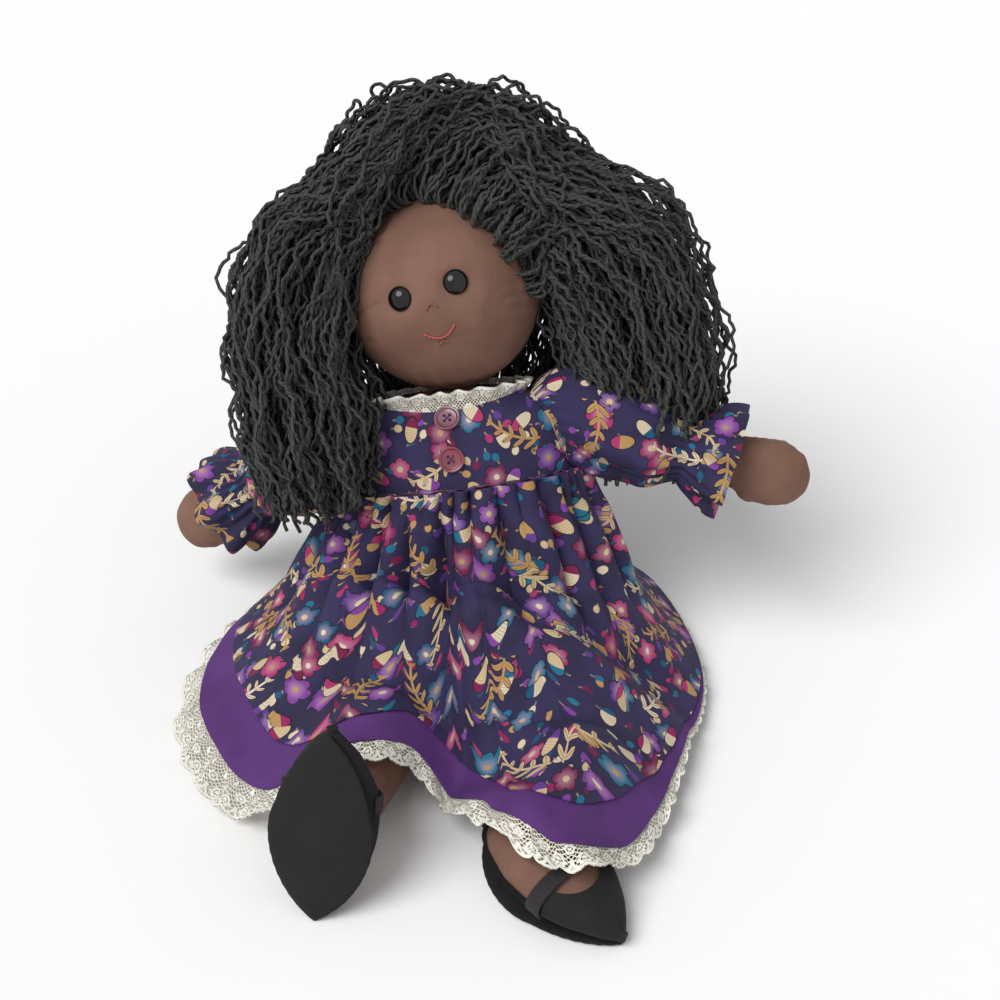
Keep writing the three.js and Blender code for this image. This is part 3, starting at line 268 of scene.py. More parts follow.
class Graph:
    """The node tree of one material, or of the world."""

    def __init__(self, owner: "bpy.types.Material | bpy.types.World") -> None:
        owner.use_nodes = True
        self.tree = owner.node_tree
        self.tree.nodes.clear()

    def node(self, kind: str, settings: dict | None = None, inputs: dict | None = None) -> Made:
        """Makes any node.

        Args:
            kind: the node's type.
            settings: its properties, and a ramp's stops as pairs of a place and a colour.
            inputs: the values or links of its sockets, by name or place.

        Returns:
            The node's outputs.
        """
        node = self.tree.nodes.new(kind)
        for key, value in (settings or {}).items():
            if key == "stops":
                ramp = node.color_ramp
                for place, _ in value[len(ramp.elements):]:
                    ramp.elements.new(place)
                for element, (place, colour) in zip(ramp.elements, value):
                    element.position, element.color = place, colour
            elif key == "ramp":
                node.color_ramp.interpolation = value
            else:
                setattr(node, key, value)
        for key, value in (inputs or {}).items():
            if isinstance(value, Value):
                self.tree.links.new(value.socket, node.inputs[key])
            else:
                node.inputs[key].default_value = value
        return Made(self, node)

    def surface(self) -> tuple[Value, Value]:
        """The piece's own UV map, in metres of cloth."""
        made = self.node("ShaderNodeSeparateXYZ", None, {0: self.node("ShaderNodeTexCoord")["UV"]})
        return made[0], made[1]

    def space(self) -> Value:
        """The place in the object, in metres."""
        return self.node("ShaderNodeTexCoord")["Object"]

    def spot(self, x: "Value | float", y: "Value | float") -> Value:
        """A vector of two values."""
        return self.node("ShaderNodeCombineXYZ", None, {0: x, 1: y})[0]

    def noise(self, place: Value, size: float, detail: float = 2.0) -> Value:
        """Noise about 0.5 with features of about the size given, in metres."""
        inputs = {"Vector": place, "Scale": 1 / size, "Detail": detail}
        return self.node("ShaderNodeTexNoise", None, inputs)["Fac"]

    def mix(self, share: "Value | float", first: "Value | tuple", second: "Value | tuple") -> Value:
        """A colour between two."""
        return self.node("ShaderNodeMix", {"data_type": "RGBA"}, {0: share, 6: first, 7: second})[2]

    def choice(self, share: Value, colours: list[tuple]) -> Value:
        """One of several colours, by a share from 0 to 1."""
        stops = [(i / len(colours), colour) for i, colour in enumerate(colours)]
        return self.node("ShaderNodeValToRGB", {"ramp": "CONSTANT", "stops": stops}, {0: share})[0]

    def weave(self, place: Value, pitch: float) -> Value:
        """The rise of threads that cross each other, in each direction of space."""
        parts = self.node("ShaderNodeSeparateXYZ", None, {0: place})
        rate = TURN / pitch
        return ((parts[0] * rate).sin() + (parts[1] * rate).sin() + (parts[2] * rate).sin()) / 3

    def close(
        self, base: "Value | tuple", rise: Value | None = None, depth: float = 0.0005, **plain: Value | float
    ) -> None:
        """Ends the tree in the shader.

        Args:
            base: the base colour.
            rise: the height of the bump, if any.
            depth: what a rise of 1 is, in metres.
            plain: other sockets of the shader, with underscores for spaces.
        """
        inputs = {"Base Color": base, **{key.replace("_", " "): value for key, value in plain.items()}}
        if rise is not None:
            bump = {"Height": rise, "Distance": depth, "Strength": 1.0}
            inputs["Normal"] = self.node("ShaderNodeBump", None, bump)[0]
        shader = self.node("ShaderNodeBsdfPrincipled", None, inputs)
        self.node("ShaderNodeOutputMaterial", None, {0: shader[0]})


def colour(red: int, green: int, blue: int) -> tuple[float, float, float, float]:
    """A colour of the screen, 0 to 255, as the renderer's own numbers."""
    def linear(part: int) -> float:
        """One part of the colour."""
        share = part / 255
        return share / 12.92 if share <= 0.04045 else ((share + 0.055) / 1.055) ** 2.4
    return linear(red), linear(green), linear(blue), 1.0


class Slot(Enum):
    """The record's material slots."""

    SKIN = "brown_cotton"
    EYE = "eye_plastic"
    WASHER = "white_plastic"
    GOLD = "gold_thread"
    CORAL = "coral_thread"
    YARN = "black_yarn"
    PRINT = "print_cotton"
    PURPLE = "purple_cotton"
    LACE = "cream_lace"
    CUFF = "white_elastic"
    BLACK = "black_cotton"
    STRAP = "black_elastic"
    ROSE = "rose_button"
    RED = "red_button"
    SNAP = "snap_metal"


@dataclass(frozen=True)
class Finish:
    """What every finish has: its slot, a main colour and a second one."""

    slot: Slot
    main: tuple
    second: tuple = (0, 0, 0, 1)

    def material(self) -> bpy.types.Material:
        """The finish's material, made on first use."""
        name = f"finish_{self.slot.value}"
        found = bpy.data.materials.get(name)
        if found is None:
            found = bpy.data.materials.new(name)
            self.paint(Graph(found))
        return found

    def paint(self, graph: Graph) -> None:
        """Makes the finish's nodes, which each kind of finish has of its own."""
        raise NotImplementedError


@dataclass(frozen=True)
class Cotton(Finish):
    """Plain woven cotton with a fine thread, soft creases and a slight unevenness of its dye."""

    thread: float = 0.00055
    crease: float = 0.012

    def paint(self, graph: Graph) -> None:
        """Dye, weave and creases."""
        place = graph.space()
        dye = graph.noise(place, self.crease * 2, 4.0).step(0.3, 0.7)
        fleck = graph.noise(place, self.thread * 2, 1.0)
        base = graph.mix(dye * 0.55 + fleck * 0.25, self.main, self.second)
        creases = graph.noise(place, self.crease, 3.0) * 1.6
        rise = graph.weave(place, self.thread) * 0.05 + creases
        graph.close(base, rise, 0.0007, Roughness=0.78, Specular_IOR_Level=0.25)


@dataclass(frozen=True)
class Cell:
    """A scattered place on printed cloth: x and y from it in metres, and three chances from 0 to 1."""

    x: Value
    y: Value
    pick: Value
    tone: Value
    chance: Value


@dataclass(frozen=True)
class Print(Finish):
    """Dark cotton printed all over with blossoms, buds, leaf sprigs and seed pods, scattered loosely."""

    blossom: float = 0.0185
    sprig: float = 0.041
    pod: float = 0.021
    bud: float = 0.0085
    blossom_half: float = 0.004
    petal_rise: float = 0.0027
    pod_half: tuple = (0.0062, 0.0033)
    sprig_half: float = 0.0152
    leaf_pitch: float = 0.0066
    leaf_half: tuple = (0.00185, 0.0034)
    stalk: float = 0.0042
    # Shares of the places that are left bare
    no_bud: float = 0.5
    no_blossom: float = 0.24
    no_pod: float = 0.38
    no_sprig: float = 0.2
    dark: tuple = colour(26, 20, 34)
    petals: tuple = (
        colour(150, 34, 92), colour(34, 110, 140), colour(176, 54, 110), colour(132, 66, 156),
        colour(24, 86, 122), colour(120, 30, 74), colour(98, 60, 140),
    )
    creams: tuple = (colour(214, 190, 150), colour(226, 210, 182), colour(190, 150, 96))

    def cells(self, graph: Graph, u: Value, v: Value, size: float, turn: float, loose: float = 0.85) -> Cell:
        """Scattered places on the cloth, each with its own random numbers.

        Args:
            graph: the tree.
            u, v: the cloth's own coordinates in metres.
            size: the usual distance between places.
            turn: the turn of the rows, in degrees.
            loose: how far the places stray from rows, from 0 to 1.

        Returns:
            The nearest place, turned at random.
        """
        a = math.radians(turn)
        x = (u * math.cos(a) - v * math.sin(a)) / size + turn
        y = (u * math.sin(a) + v * math.cos(a)) / size
        settings = {"feature": "F1", "voronoi_dimensions": "2D"}
        inputs = {"Vector": graph.spot(x, y), "Scale": 1.0, "Randomness": loose}
        found = graph.node("ShaderNodeTexVoronoi", settings, inputs)
        middle = graph.node("ShaderNodeSeparateXYZ", None, {0: found["Position"]})
        pick = graph.node("ShaderNodeSeparateColor", None, {0: found["Color"]})
        dx = (x - middle[0]) * size
        dy = (y - middle[1]) * size
        spin = pick[0] * (3 * TURN)
        x, y = dx * spin.cos() - dy * spin.sin(), dx * spin.sin() + dy * spin.cos()
        return Cell(x, y, pick[0], pick[1], pick[2])

    def paint(self, graph: Graph) -> None:
        """Ground, buds, blossoms, pods and sprigs, each over the last."""
        u, v = graph.surface()
        cloth = graph.spot(u, v)
        wobble = graph.noise(cloth, 0.004, 1.0) - 0.5
        tint = graph.noise(cloth, 0.03, 3.0).step(0.35, 0.7)
        base = graph.mix(tint, self.main, self.second)
        base = self.buds(graph, u, v, base)
        base = self.blossoms(graph, u, v, base, wobble)
        base = self.pods(graph, u, v, base)
        base = self.sprigs(graph, u, v, base)
        rate = TURN / 0.0005
        rise = (u * rate).sin() * (v * rate).sin() * 0.12 + graph.noise(cloth, 0.011, 3.0) * 1.5
        graph.close(base, rise, 0.0006, Roughness=0.7, Specular_IOR_Level=0.3)

    def buds(self, graph: Graph, u: Value, v: Value, base: Value) -> Value:
        """Small round buds on short stalks."""
        cell = self.cells(graph, u, v, self.bud, 17)
        reach = (cell.x**2 + (cell.y * 0.8) ** 2) ** 0.5
        shown = cell.chance > self.no_bud
        bud = reach.step(0.0021, 0.0016) * shown
        stalk = abs(cell.x).step(0.0006, 0.0003) * (cell.y > 0) * (cell.y < self.stalk) * shown
        stalks = graph.mix(stalk, base, colour(150, 132, 108))
        return graph.mix(bud, stalks, graph.choice(cell.tone, [*self.petals, *self.creams]))

    def blossoms(self, graph: Graph, u: Value, v: Value, base: Value, wobble: Value) -> Value:
        """Five-petalled blossoms with veins, a light heart and a dark edge."""
        cell = self.cells(graph, u, v, self.blossom, 41)
        reach = (cell.x**2 + cell.y**2) ** 0.5
        bearing = cell.y.math("ARCTAN2", cell.x)
        lobes = abs((bearing * 2.5).cos()) ** 0.7
        round_edge = lobes * self.petal_rise + self.blossom_half
        edge = round_edge * (cell.tone * 0.35 + 0.82) + wobble * 0.0012
        inside = edge - reach
        shown = cell.chance > self.no_blossom
        veins = abs((bearing * 15).sin()).step(0.25, 0.0) * (reach > 0.002)
        petal = graph.choice(cell.pick, list(self.petals))
        light = graph.mix(0.45, petal, colour(236, 190, 214))
        shade = graph.mix((reach / 0.006).step(1.0, 0.3) * 0.6, petal, light)
        shade = graph.mix(veins * 0.5, shade, self.dark)
        heart = reach.step(0.0018, 0.0013)
        shade = graph.mix(heart, shade, graph.choice(cell.tone, list(self.creams)))
        rim = graph.mix(inside.step(-0.0007, -0.0003) * shown, base, self.dark)
        return graph.mix(inside.step(-0.0001, 0.0002) * shown, rim, shade)

    def pods(self, graph: Graph, u: Value, v: Value, base: Value) -> Value:
        """Cream seed pods, striped across, with a coloured husk at one end."""
        cell = self.cells(graph, u, v, self.pod, 68)
        shown = cell.chance > self.no_pod
        long, wide = cell.x / self.pod_half[0], cell.y / self.pod_half[1]
        reach = (long**2 + wide**2) ** 0.5
        stripes = abs((cell.x * (TURN / 0.0026)).sin()).step(0.55, 0.2)
        cream = graph.choice(cell.pick, list(self.creams))
        body = graph.mix(stripes * 0.45, cream, colour(150, 112, 80))
        husk = graph.choice(cell.tone, list(self.petals))
        body = graph.mix((long > 0.25) * 1.0, body, husk)
        rim = graph.mix(reach.step(1.16, 1.08) * shown, base, self.dark)
        return graph.mix(reach.step(1.02, 0.97) * shown, rim, body)

    def sprigs(self, graph: Graph, u: Value, v: Value, base: Value) -> Value:
        """Long cream sprigs: a curved stem with paired leaves that shrink to its tip."""
        cell = self.cells(graph, u, v, self.sprig, 5, 0.6)
        shown = cell.chance > self.no_sprig
        x, share = cell.x, cell.x / self.sprig_half
        y = cell.y + share**2 * 0.0035 - 0.0012
        inside = abs(x) < self.sprig_half
        stem = abs(y).step(0.0008, 0.0005) * inside
        size = 1 - (share + 1) * 0.26
        wide, long = size * self.leaf_half[0], size * self.leaf_half[1]
        slant = (x - abs(y) * 0.75).wrapped(self.leaf_pitch)
        leaf = ((slant / wide) ** 2 + ((abs(y) - long) / long) ** 2) ** 0.5
        leaves = leaf.step(1.05, 0.92) * inside
        shape = stem.most(leaves) * shown
        rim = leaf.step(1.35, 1.2) * inside * shown
        vein = abs(slant).step(0.0005, 0.0002) * leaves
        cream = graph.choice(cell.tone, list(self.creams))
        cream = graph.mix(vein * 0.6, cream, colour(140, 104, 62))
        return graph.mix(shape, graph.mix(rim * 0.8, base, self.dark), cream)


@dataclass(frozen=True)
class Lace(Finish):
    """Cotton lace: a net, two rows of flowers and a corded scalloped edge; u runs along, v from the edge."""

    scallop: float = 0.0094
    mesh: float = 0.0022
    net_thread: tuple = (0.0004, 0.00025)
    near_row: float = 0.0046
    far_row: float = 0.0112
    bud_row: float = 0.015
    flowers: tuple = (0.0031, 0.0026)

    def paint(self, graph: Graph) -> None:
        """Net, flowers and edge, with the gaps let through."""
        u, v = graph.surface()
        net = self.net(u, v)
        across = u.wrapped(self.scallop)
        between = (u + self.scallop / 2).wrapped(self.scallop)
        near = self.flower(across, v - self.near_row, self.flowers[0])
        far = self.flower(between, v - self.far_row, self.flowers[1])
        bud = ((across / 0.0011) ** 2 + ((v - self.bud_row) / 0.0019) ** 2).step(1.2, 0.8)
        bow = abs(v - 0.0009).step(0.0010, 0.0006)
        arch = abs(((across / (self.scallop * 0.48)) ** 2 + ((v - 0.0052) / 0.0046) ** 2) ** 0.5 - 1)
        cord = arch.step(0.17, 0.09) * (v < 0.0062)
        thick = near.most(far, bud, bow, cord)
        shape = thick.most(net)
        base = graph.mix(thick * 0.7 + graph.noise(graph.spot(u, v), 0.02) * 0.3, self.second, self.main)
        rise = thick + net * 0.4
        graph.close(base, rise, 0.0004, Roughness=0.85, Specular_IOR_Level=0.2, Alpha=shape.step(0.3, 0.6))

    def net(self, u: Value, v: Value) -> Value:
        """Threads that cross on the slant."""
        first, second = (abs(way.wrapped(self.mesh)).step(*self.net_thread) for way in (u + v, u - v))
        return first.most(second)

    def flower(self, x: Value, y: Value, radius: float) -> Value:
        """A worked flower with an open ring round its heart."""
        reach = (x**2 + y**2) ** 0.5
        lobes = abs((y.math("ARCTAN2", x) * 3).cos()) * 0.28 + 0.72
        petals = (reach / radius - lobes).step(0.06, -0.06)
        ring = abs(reach / radius - 0.38).step(0.10, 0.05)
        return petals - petals * ring


@dataclass(frozen=True)
class Yarn(Finish):
    """Black yarn of twisted plies, with a painted highlight: v runs along the strand and u round it."""

    twist: float = 0.0042

    def paint(self, graph: Graph) -> None:
        """Plies and stray fibres, with a painted highlight along the plies' ridges and on the fibres."""
        u, v = graph.surface()
        plies = (v * (TURN / self.twist) + u * (2 * TURN)).sin()
        fibre = graph.noise(graph.space(), 0.0009, 2.0)
        # The second colour is a painted highlight: it is mixed in along the ridges of the plies, and at
        # random over the fibres.
        base = graph.mix((plies * 0.25 + 0.3) * 0.8 + fibre * 0.35, self.main, self.second)
        soft = {"Roughness": 0.9, "Specular_IOR_Level": 0.2, "Sheen_Weight": 0.05}
        graph.close(base, plies * 0.5 + fibre, 0.0006, **soft)


@dataclass(frozen=True)
class Plastic(Finish):
    """Moulded plastic with faint scuffs."""

    gloss: float = 0.12
    coat: float = 0.5
    shine: float = 0.5

    def paint(self, graph: Graph) -> None:
        """Moulded colour and scuffs."""
        place = graph.space()
        cloud = graph.noise(place, 0.006, 3.0)
        base = graph.mix(cloud.step(0.35, 0.75), self.main, self.second)
        rough = graph.noise(place, 0.0015, 3.0) * 0.1 + self.gloss
        gloss = {"Coat_Weight": self.coat, "Coat_Roughness": 0.05, "Specular_IOR_Level": self.shine}
        graph.close(base, cloud, 0.00008, Roughness=rough, **gloss)


@dataclass(frozen=True)
class Elastic(Finish):
    """Woven elastic: v runs along it and u across, with cords along and picks across, and painted shade in
    the grooves.
    """

    cord: float = 0.0013
    pick: float = 0.0011

    def paint(self, graph: Graph) -> None:
        """Cords and picks, with painted shade in the grooves between them."""
        u, v = graph.surface()
        cords = abs((u * (math.pi / self.cord)).sin())
        picks = (v * (TURN / self.pick)).sin() * 0.5 + 0.5
        # The darker second colour is painted shade: it fills the grooves between the cords and between the
        # picks.
        base = graph.mix(cords * 0.6 + picks * 0.3, self.second, self.main)
        graph.close(base, cords * 0.5 + picks * 0.6, 0.0005, Roughness=0.85)


@dataclass(frozen=True)
class Thread(Finish):
    """Stranded embroidery thread."""

    def paint(self, graph: Graph) -> None:
        """Strands seen by their shade."""
        strand = graph.noise(graph.space(), 0.0004, 2.0)
        graph.close(graph.mix(strand, self.main, self.second), strand, 0.0003, Roughness=0.6)


@dataclass(frozen=True)
class Metal(Finish):
    """Plated pressed metal."""

    def paint(self, graph: Graph) -> None:
        """Plating with worn spots."""
        worn = graph.noise(graph.space(), 0.002, 4.0)
        base = graph.mix(worn.step(0.45, 0.65), self.main, self.second)
        graph.close(base, worn, 0.00005, Roughness=worn * 0.3 + 0.2, Metallic=1.0)


SKIN = Cotton(Slot.SKIN, colour(130, 97, 83), colour(106, 76, 64))
PURPLE = Cotton(Slot.PURPLE, colour(92, 54, 118), colour(74, 40, 97), crease=0.015)
BLACK = Cotton(Slot.BLACK, colour(29, 29, 30), colour(22, 21, 23))
PRINT = Print(Slot.PRINT, colour(52, 46, 86), colour(40, 35, 64))
LACE = Lace(Slot.LACE, colour(246, 243, 233), colour(226, 221, 206))
# The yarn's second colour is a painted highlight.
YARN = Yarn(Slot.YARN, colour(46, 47, 45), colour(88, 91, 87))
# Each elastic's second colour is the painted shade in its grooves.
STRAP = Elastic(Slot.STRAP, colour(50, 44, 48), colour(22, 20, 23))
CUFF = Elastic(Slot.CUFF, colour(222, 218, 208), colour(170, 164, 152))
EYE = Plastic(Slot.EYE, colour(10, 9, 11), colour(15, 14, 17), gloss=0.05, coat=0.0, shine=0.36)
WASHER = Plastic(Slot.WASHER, colour(216, 214, 208), colour(204, 200, 192), gloss=0.5, coat=0.0)
ROSE = Plastic(Slot.ROSE, colour(118, 66, 84), colour(96, 50, 66), gloss=0.25)
RED = Plastic(Slot.RED, colour(126, 42, 64), colour(104, 30, 50), gloss=0.25)
GOLD = Thread(Slot.GOLD, colour(150, 100, 66), colour(120, 74, 46))
CORAL = Thread(Slot.CORAL, colour(206, 92, 92), colour(176, 68, 72))
SNAP = Metal(Slot.SNAP, colour(150, 150, 152), colour(110, 108, 104))


# Mesh helpers

def linked(name: str, data: bpy.types.ID) -> bpy.types.Object:
    """A new object of the scene around its data."""
    made = bpy.data.objects.new(name, data)
    bpy.context.scene.collection.objects.link(made)
    return made


def new_piece(name: str, vertices: np.ndarray, faces: list, uv: np.ndarray | None = None) -> bpy.types.Object:
    """A mesh object from points in millimetres.

    Args:
        name: the piece's name.
        vertices: points, shape (n, 3).
        faces: vertex numbers of each face.
        uv: a coordinate in metres for each corner, in the faces' order.

    Returns:
        The smooth-shaded object.
    """
    mesh = bpy.data.meshes.new(name)
    mesh.from_pydata((np.asarray(vertices).reshape(-1, 3) * MM).tolist(), [], faces)
    if uv is not None:
        mesh.uv_layers.new(name="cloth").data.foreach_set("uv", np.asarray(uv, np.float32).ravel())
    mesh.shade_smooth()
    return linked(name, mesh)


def lone(piece: bpy.types.Object) -> bpy.types.Object:
    """Selects one piece only and makes it active."""
    bpy.ops.object.select_all(action="DESELECT")
    piece.select_set(True)
    bpy.context.view_layer.objects.active = piece
    return piece


@contextmanager
def edit_mode(piece: bpy.types.Object) -> Iterator[None]:
    """Edit mode on one piece, with all of it selected."""
    lone(piece)
    bpy.ops.object.mode_set(mode="EDIT")
    bpy.ops.mesh.select_all(action="SELECT")
    yield
    bpy.ops.object.mode_set(mode="OBJECT")


def keep_edges(piece: bpy.types.Object, degrees: float) -> None:
    """Shades a piece smooth, apart from edges sharper than an angle."""
    lone(piece)
    bpy.ops.object.shade_smooth_by_angle(angle=math.radians(degrees))


def primitive(name: str, kind: str, **sizes: float) -> bpy.types.Object:
    """A primitive of Blender's own at the origin, selected all over, to be shaped."""
    bpy.ops.object.select_all(action="DESELECT")
    getattr(bpy.ops.mesh, f"primitive_{kind}_add")(**sizes)
    piece = bpy.context.object
    piece.name = piece.data.name = name
    # A sphere's own UVs change from run to run, so none are kept
    while piece.data.uv_layers:
        piece.data.uv_layers.remove(piece.data.uv_layers[0])
    return piece


def coordinates(piece: bpy.types.Object) -> np.ndarray:
    """A piece's points, in millimetres."""
    flat = np.empty(3 * len(piece.data.vertices), np.float32)
    piece.data.vertices.foreach_get("co", flat)
    return flat.reshape(-1, 3).astype(float) / MM


def move_points(piece: bpy.types.Object, points: np.ndarray) -> bpy.types.Object:
    """Gives a piece's points new places, in millimetres."""
    piece.data.vertices.foreach_set("co", (points * MM).astype(np.float32).ravel())
    piece.data.update()
    return piece


def apply(piece: bpy.types.Object, kind: str, **settings) -> bpy.types.Object:
    """Adds a modifier and applies it."""
    lone(piece)
    modifier = piece.modifiers.new(kind.lower(), kind)
    for key, value in settings.items():
        setattr(modifier, key, value)
    bpy.ops.object.modifier_apply(modifier=modifier.name)
    return piece


def cut_out(piece: bpy.types.Object, cutter: bpy.types.Object) -> None:
    """Takes one solid out of another and throws it away."""
    apply(piece, "BOOLEAN", operation="DIFFERENCE", solver="EXACT", object=cutter)
    bpy.data.objects.remove(cutter)


def stuffed_copy(node: str, name: str, voxel: float, rounds: int) -> bpy.types.Object:
    """A soft, even copy of a CAD node.

    Args:
        node: the CAD node.
        name: the copy's name.
        voxel: the size of its new faces, in millimetres.
        rounds: how often its points are smoothed.

    Returns:
        The copy, with one subdivision.
    """
    source = frame["nodes"][node]
    piece = linked(name, source.data.copy())
    with edit_mode(piece):
        bpy.ops.mesh.remove_doubles(threshold=MM / 50)
    apply(piece, "REMESH", mode="VOXEL", voxel_size=voxel * MM)
    apply(piece, "SMOOTH", factor=0.5, iterations=rounds)
    apply(piece, "SUBSURF", levels=1, render_levels=1)
    piece.data.shade_smooth()
    return piece


def joined(first: bpy.types.Object, *others: bpy.types.Object) -> bpy.types.Object:
    """One piece from several."""
    lone(first)
    for other in others:
        other.select_set(True)
    bpy.ops.object.join()
    return first


def tubes(name: str, line: np.ndarray, radius: "float | np.ndarray", sides: int) -> bpy.types.Object:
    """Closed tubes along lines.

    Args:
        name: the piece's name.
        line: the middles, shape (n, m, 3), in millimetres.
        radius: one radius, or one for each point, shape (n, m).
        sides: sides of each tube.

    Returns:
        One piece, with v along each tube and u round it, in metres.
    """
    count, length = line.shape[:2]
    normal, other = carried_normals(line)
    angle = TURN * np.arange(sides) / sides
    reach = np.broadcast_to(np.asarray(radius, float), (count, length))[..., None, None]
    ring = normal[:, :, None] * np.cos(angle)[:, None] + other[:, :, None] * np.sin(angle)[:, None]
    points = line[:, :, None] + reach * ring
    spots = np.arange(count * length * sides).reshape(count, length, sides)
    after = np.roll(spots, -1, axis=2)
    quads = np.stack([spots[:, :-1], after[:, :-1], after[:, 1:], spots[:, 1:]], -1)
    ends = [*spots[:, 0, ::-1].tolist(), *spots[:, -1].tolist()]
    run = along(line)[:, :, None] * MM
    left, low, high = np.broadcast_arrays(np.arange(sides) / sides, run[:, :-1], run[:, 1:])
    right = left + 1 / sides
    uv = np.stack([left, low, right, low, right, high, left, high], -1).reshape(-1, 2)
    uv = np.concatenate([uv, np.zeros((len(ends) * sides, 2))])
    return new_piece(name, points, quads.reshape(-1, 4).tolist() + ends, uv)


@dataclass
class Surface:
    """A surface of cloth as a grid: rows along its length, columns across, UVs in metres of flat cloth."""

    points: np.ndarray
    flat: np.ndarray
    closed: bool = False
    cone: tuple = ()

    def pattern(self, flat: np.ndarray) -> np.ndarray:
        """The cut of the cloth: as it is, or on a cone's sector of an inner radius and an angle.

        A cone's first coordinate is in turns, and its second is the run from the inner edge, in metres.
        """
        if not self.cone:
            return flat
        inner, spread = self.cone
        angle, reach = (flat[:, 0] - 1) * spread, inner + flat[:, 1]
        return stacked(reach * np.sin(angle), -reach * np.cos(angle))

    def unwrapped(self, flat: np.ndarray) -> np.ndarray:
        """Coordinates of a panel of a closed surface, moved so that the panel is in one piece."""
        across = np.unique(flat[:, 0])
        gaps = np.diff(across)
        whole = np.ptp(self.flat[..., 0])
        if self.closed and len(gaps) and gaps.max() > 0.15 * whole:
            start = across[gaps.argmax() + 1]
            flat = flat + stacked((flat[:, 0] < start) * whole, 0)
        return flat

    def mesh(self) -> bmesh.types.BMesh:
        """The surface as an editable mesh; a closed one meets itself."""
        rows, columns = self.points.shape[:2]
        width = columns - 1 if self.closed else columns
        made = bmesh.new()
        spots = [[made.verts.new(point * MM) for point in row[:width]] for row in self.points]
        layer = made.loops.layers.uv.new("cloth")
        for i in range(rows - 1):
            for j in range(columns - 1):
                corners = [(i, j), (i, j + 1), (i + 1, j + 1), (i + 1, j)]
                face = made.faces.new([spots[a][b % width] for a, b in corners])
                for loop, (a, b) in zip(face.loops, corners):
                    loop[layer].uv = self.flat[a, b]
        made.normal_update()
        return made


Measures = tuple[float, float, float]


def cloth_pieces(
    surface: Surface,
    thickness: float,
    names: list[str],
    cuts: list[tuple[Vector, Vector]] = (),
    part_of: Callable[[Vector], int] = lambda middle: 0,
) -> list[tuple[bpy.types.Object, Measures]]:
    """Closed sheets of cloth from a surface, cut into panels whose shading runs on over the cuts.

    Args:
        surface: the outer face.
        thickness: how far the inner face lies behind it, in millimetres.
        names: the panels' names.
        cuts: a point and a normal of each plane that parts the panels, in metres.
        part_of: the number of the panel that holds a point.

    Returns:
        Each panel with its flat width, length and area, in metres.
    """
    made = surface.mesh()
    for spot, normal in cuts:
        geometry = made.verts[:] + made.edges[:] + made.faces[:]
        bmesh.ops.bisect_plane(made, geom=geometry, plane_co=spot, plane_no=normal, dist=1e-7)
    made.normal_update()
    made.verts.index_update()
    layer = made.loops.layers.uv["cloth"]
    spots = np.array([vertex.co[:] for vertex in made.verts]) / MM
    normals = np.array([vertex.normal[:] for vertex in made.verts])
    panels = [[] for _ in names]
    for face in made.faces:
        corners = [loop.vert.index for loop in face.loops]
        flat = [loop[layer].uv[:] for loop in face.loops]
        panels[part_of(face.calc_center_median())].append((corners, flat))
    made.free()
    made_up = []
    for name, panel in zip(names, panels):
        flat = np.concatenate([np.array(flat) for _, flat in panel])
        cut = surface.pattern(surface.unwrapped(flat))
        made_up.append(shell(name, [corners for corners, _ in panel], cut, (spots, normals), thickness))
    return made_up


def smallest_rectangle(flat: np.ndarray) -> tuple[float, float]:
    """The width and length of the smallest rectangle that a cut fits in."""
    sizes = []
    for angle in np.linspace(0, math.pi / 2, 46)[:-1]:
        turned = flat @ np.array([[math.cos(angle), -math.sin(angle)], [math.sin(angle), math.cos(angle)]])
        sizes.append(np.ptp(turned, axis=0))
    width, length = min(sizes, key=np.prod)
    return float(width), float(length)


def shell(
    name: str,
    panel: list[list[int]],
    cut: np.ndarray,
    surface: tuple[np.ndarray, np.ndarray],
    thickness: float,
) -> tuple[bpy.types.Object, Measures]:
    """One closed panel of cloth.

    Args:
        name: the panel's name.
        panel: the corners of each of its outer faces.
        cut: the flat place of each corner, in the faces' order, in metres.
        surface: the places and normals of all corners, in millimetres.
        thickness: how far the inner face lies behind the outer one.

    Returns:
        The panel with its flat width, length and area, in metres.
    """
    used = sorted({corner for corners in panel for corner in corners})
    number = {old: new for new, old in enumerate(used)}
    count = len(used)
    outer, normal = (values[used] for values in surface)
    points = np.concatenate([outer, outer - normal * thickness])
    starts = np.cumsum([0] + [len(corners) for corners in panel])
    outlines = [
        ([number[corner] for corner in corners], cut[start:start + len(corners)])
        for corners, start in zip(panel, starts)
    ]
    edges = {}
    area = 0.0
    for face, flat in outlines:
        ends = zip(face, np.roll(face, -1).tolist(), flat, np.roll(flat, -1, axis=0))
        edges.update({(a, b): (from_uv, to_uv) for a, b, from_uv, to_uv in ends})
        x, y = flat.T
        area += abs(float(np.dot(x, np.roll(y, -1)) - np.dot(y, np.roll(x, -1)))) / 2
    faces, uv, facing = [], [], []
    for sign, inner in ((1, 0), (-1, count)):
        for face, flat in outlines:
            faces.append([i + inner for i in face[::sign]])
            uv.extend(flat[::sign])
            facing.extend(sign * normal[face[::sign]])
    for (a, b), (from_uv, to_uv) in edges.items():
        if (b, a) not in edges:
            faces.append([b, a, a + count, b + count])
            uv.extend([to_uv, from_uv, from_uv, to_uv])
            rim = unit(np.cross(points[a] - points[b], points[a + count] - points[a]))
            facing.extend([rim] * 4)
    piece = new_piece(name, points, faces, np.array(uv))
    piece.data.normals_split_custom_set([tuple(n) for n in facing])
    return piece, (*smallest_rectangle(cut), area)


# Sub-assemblies

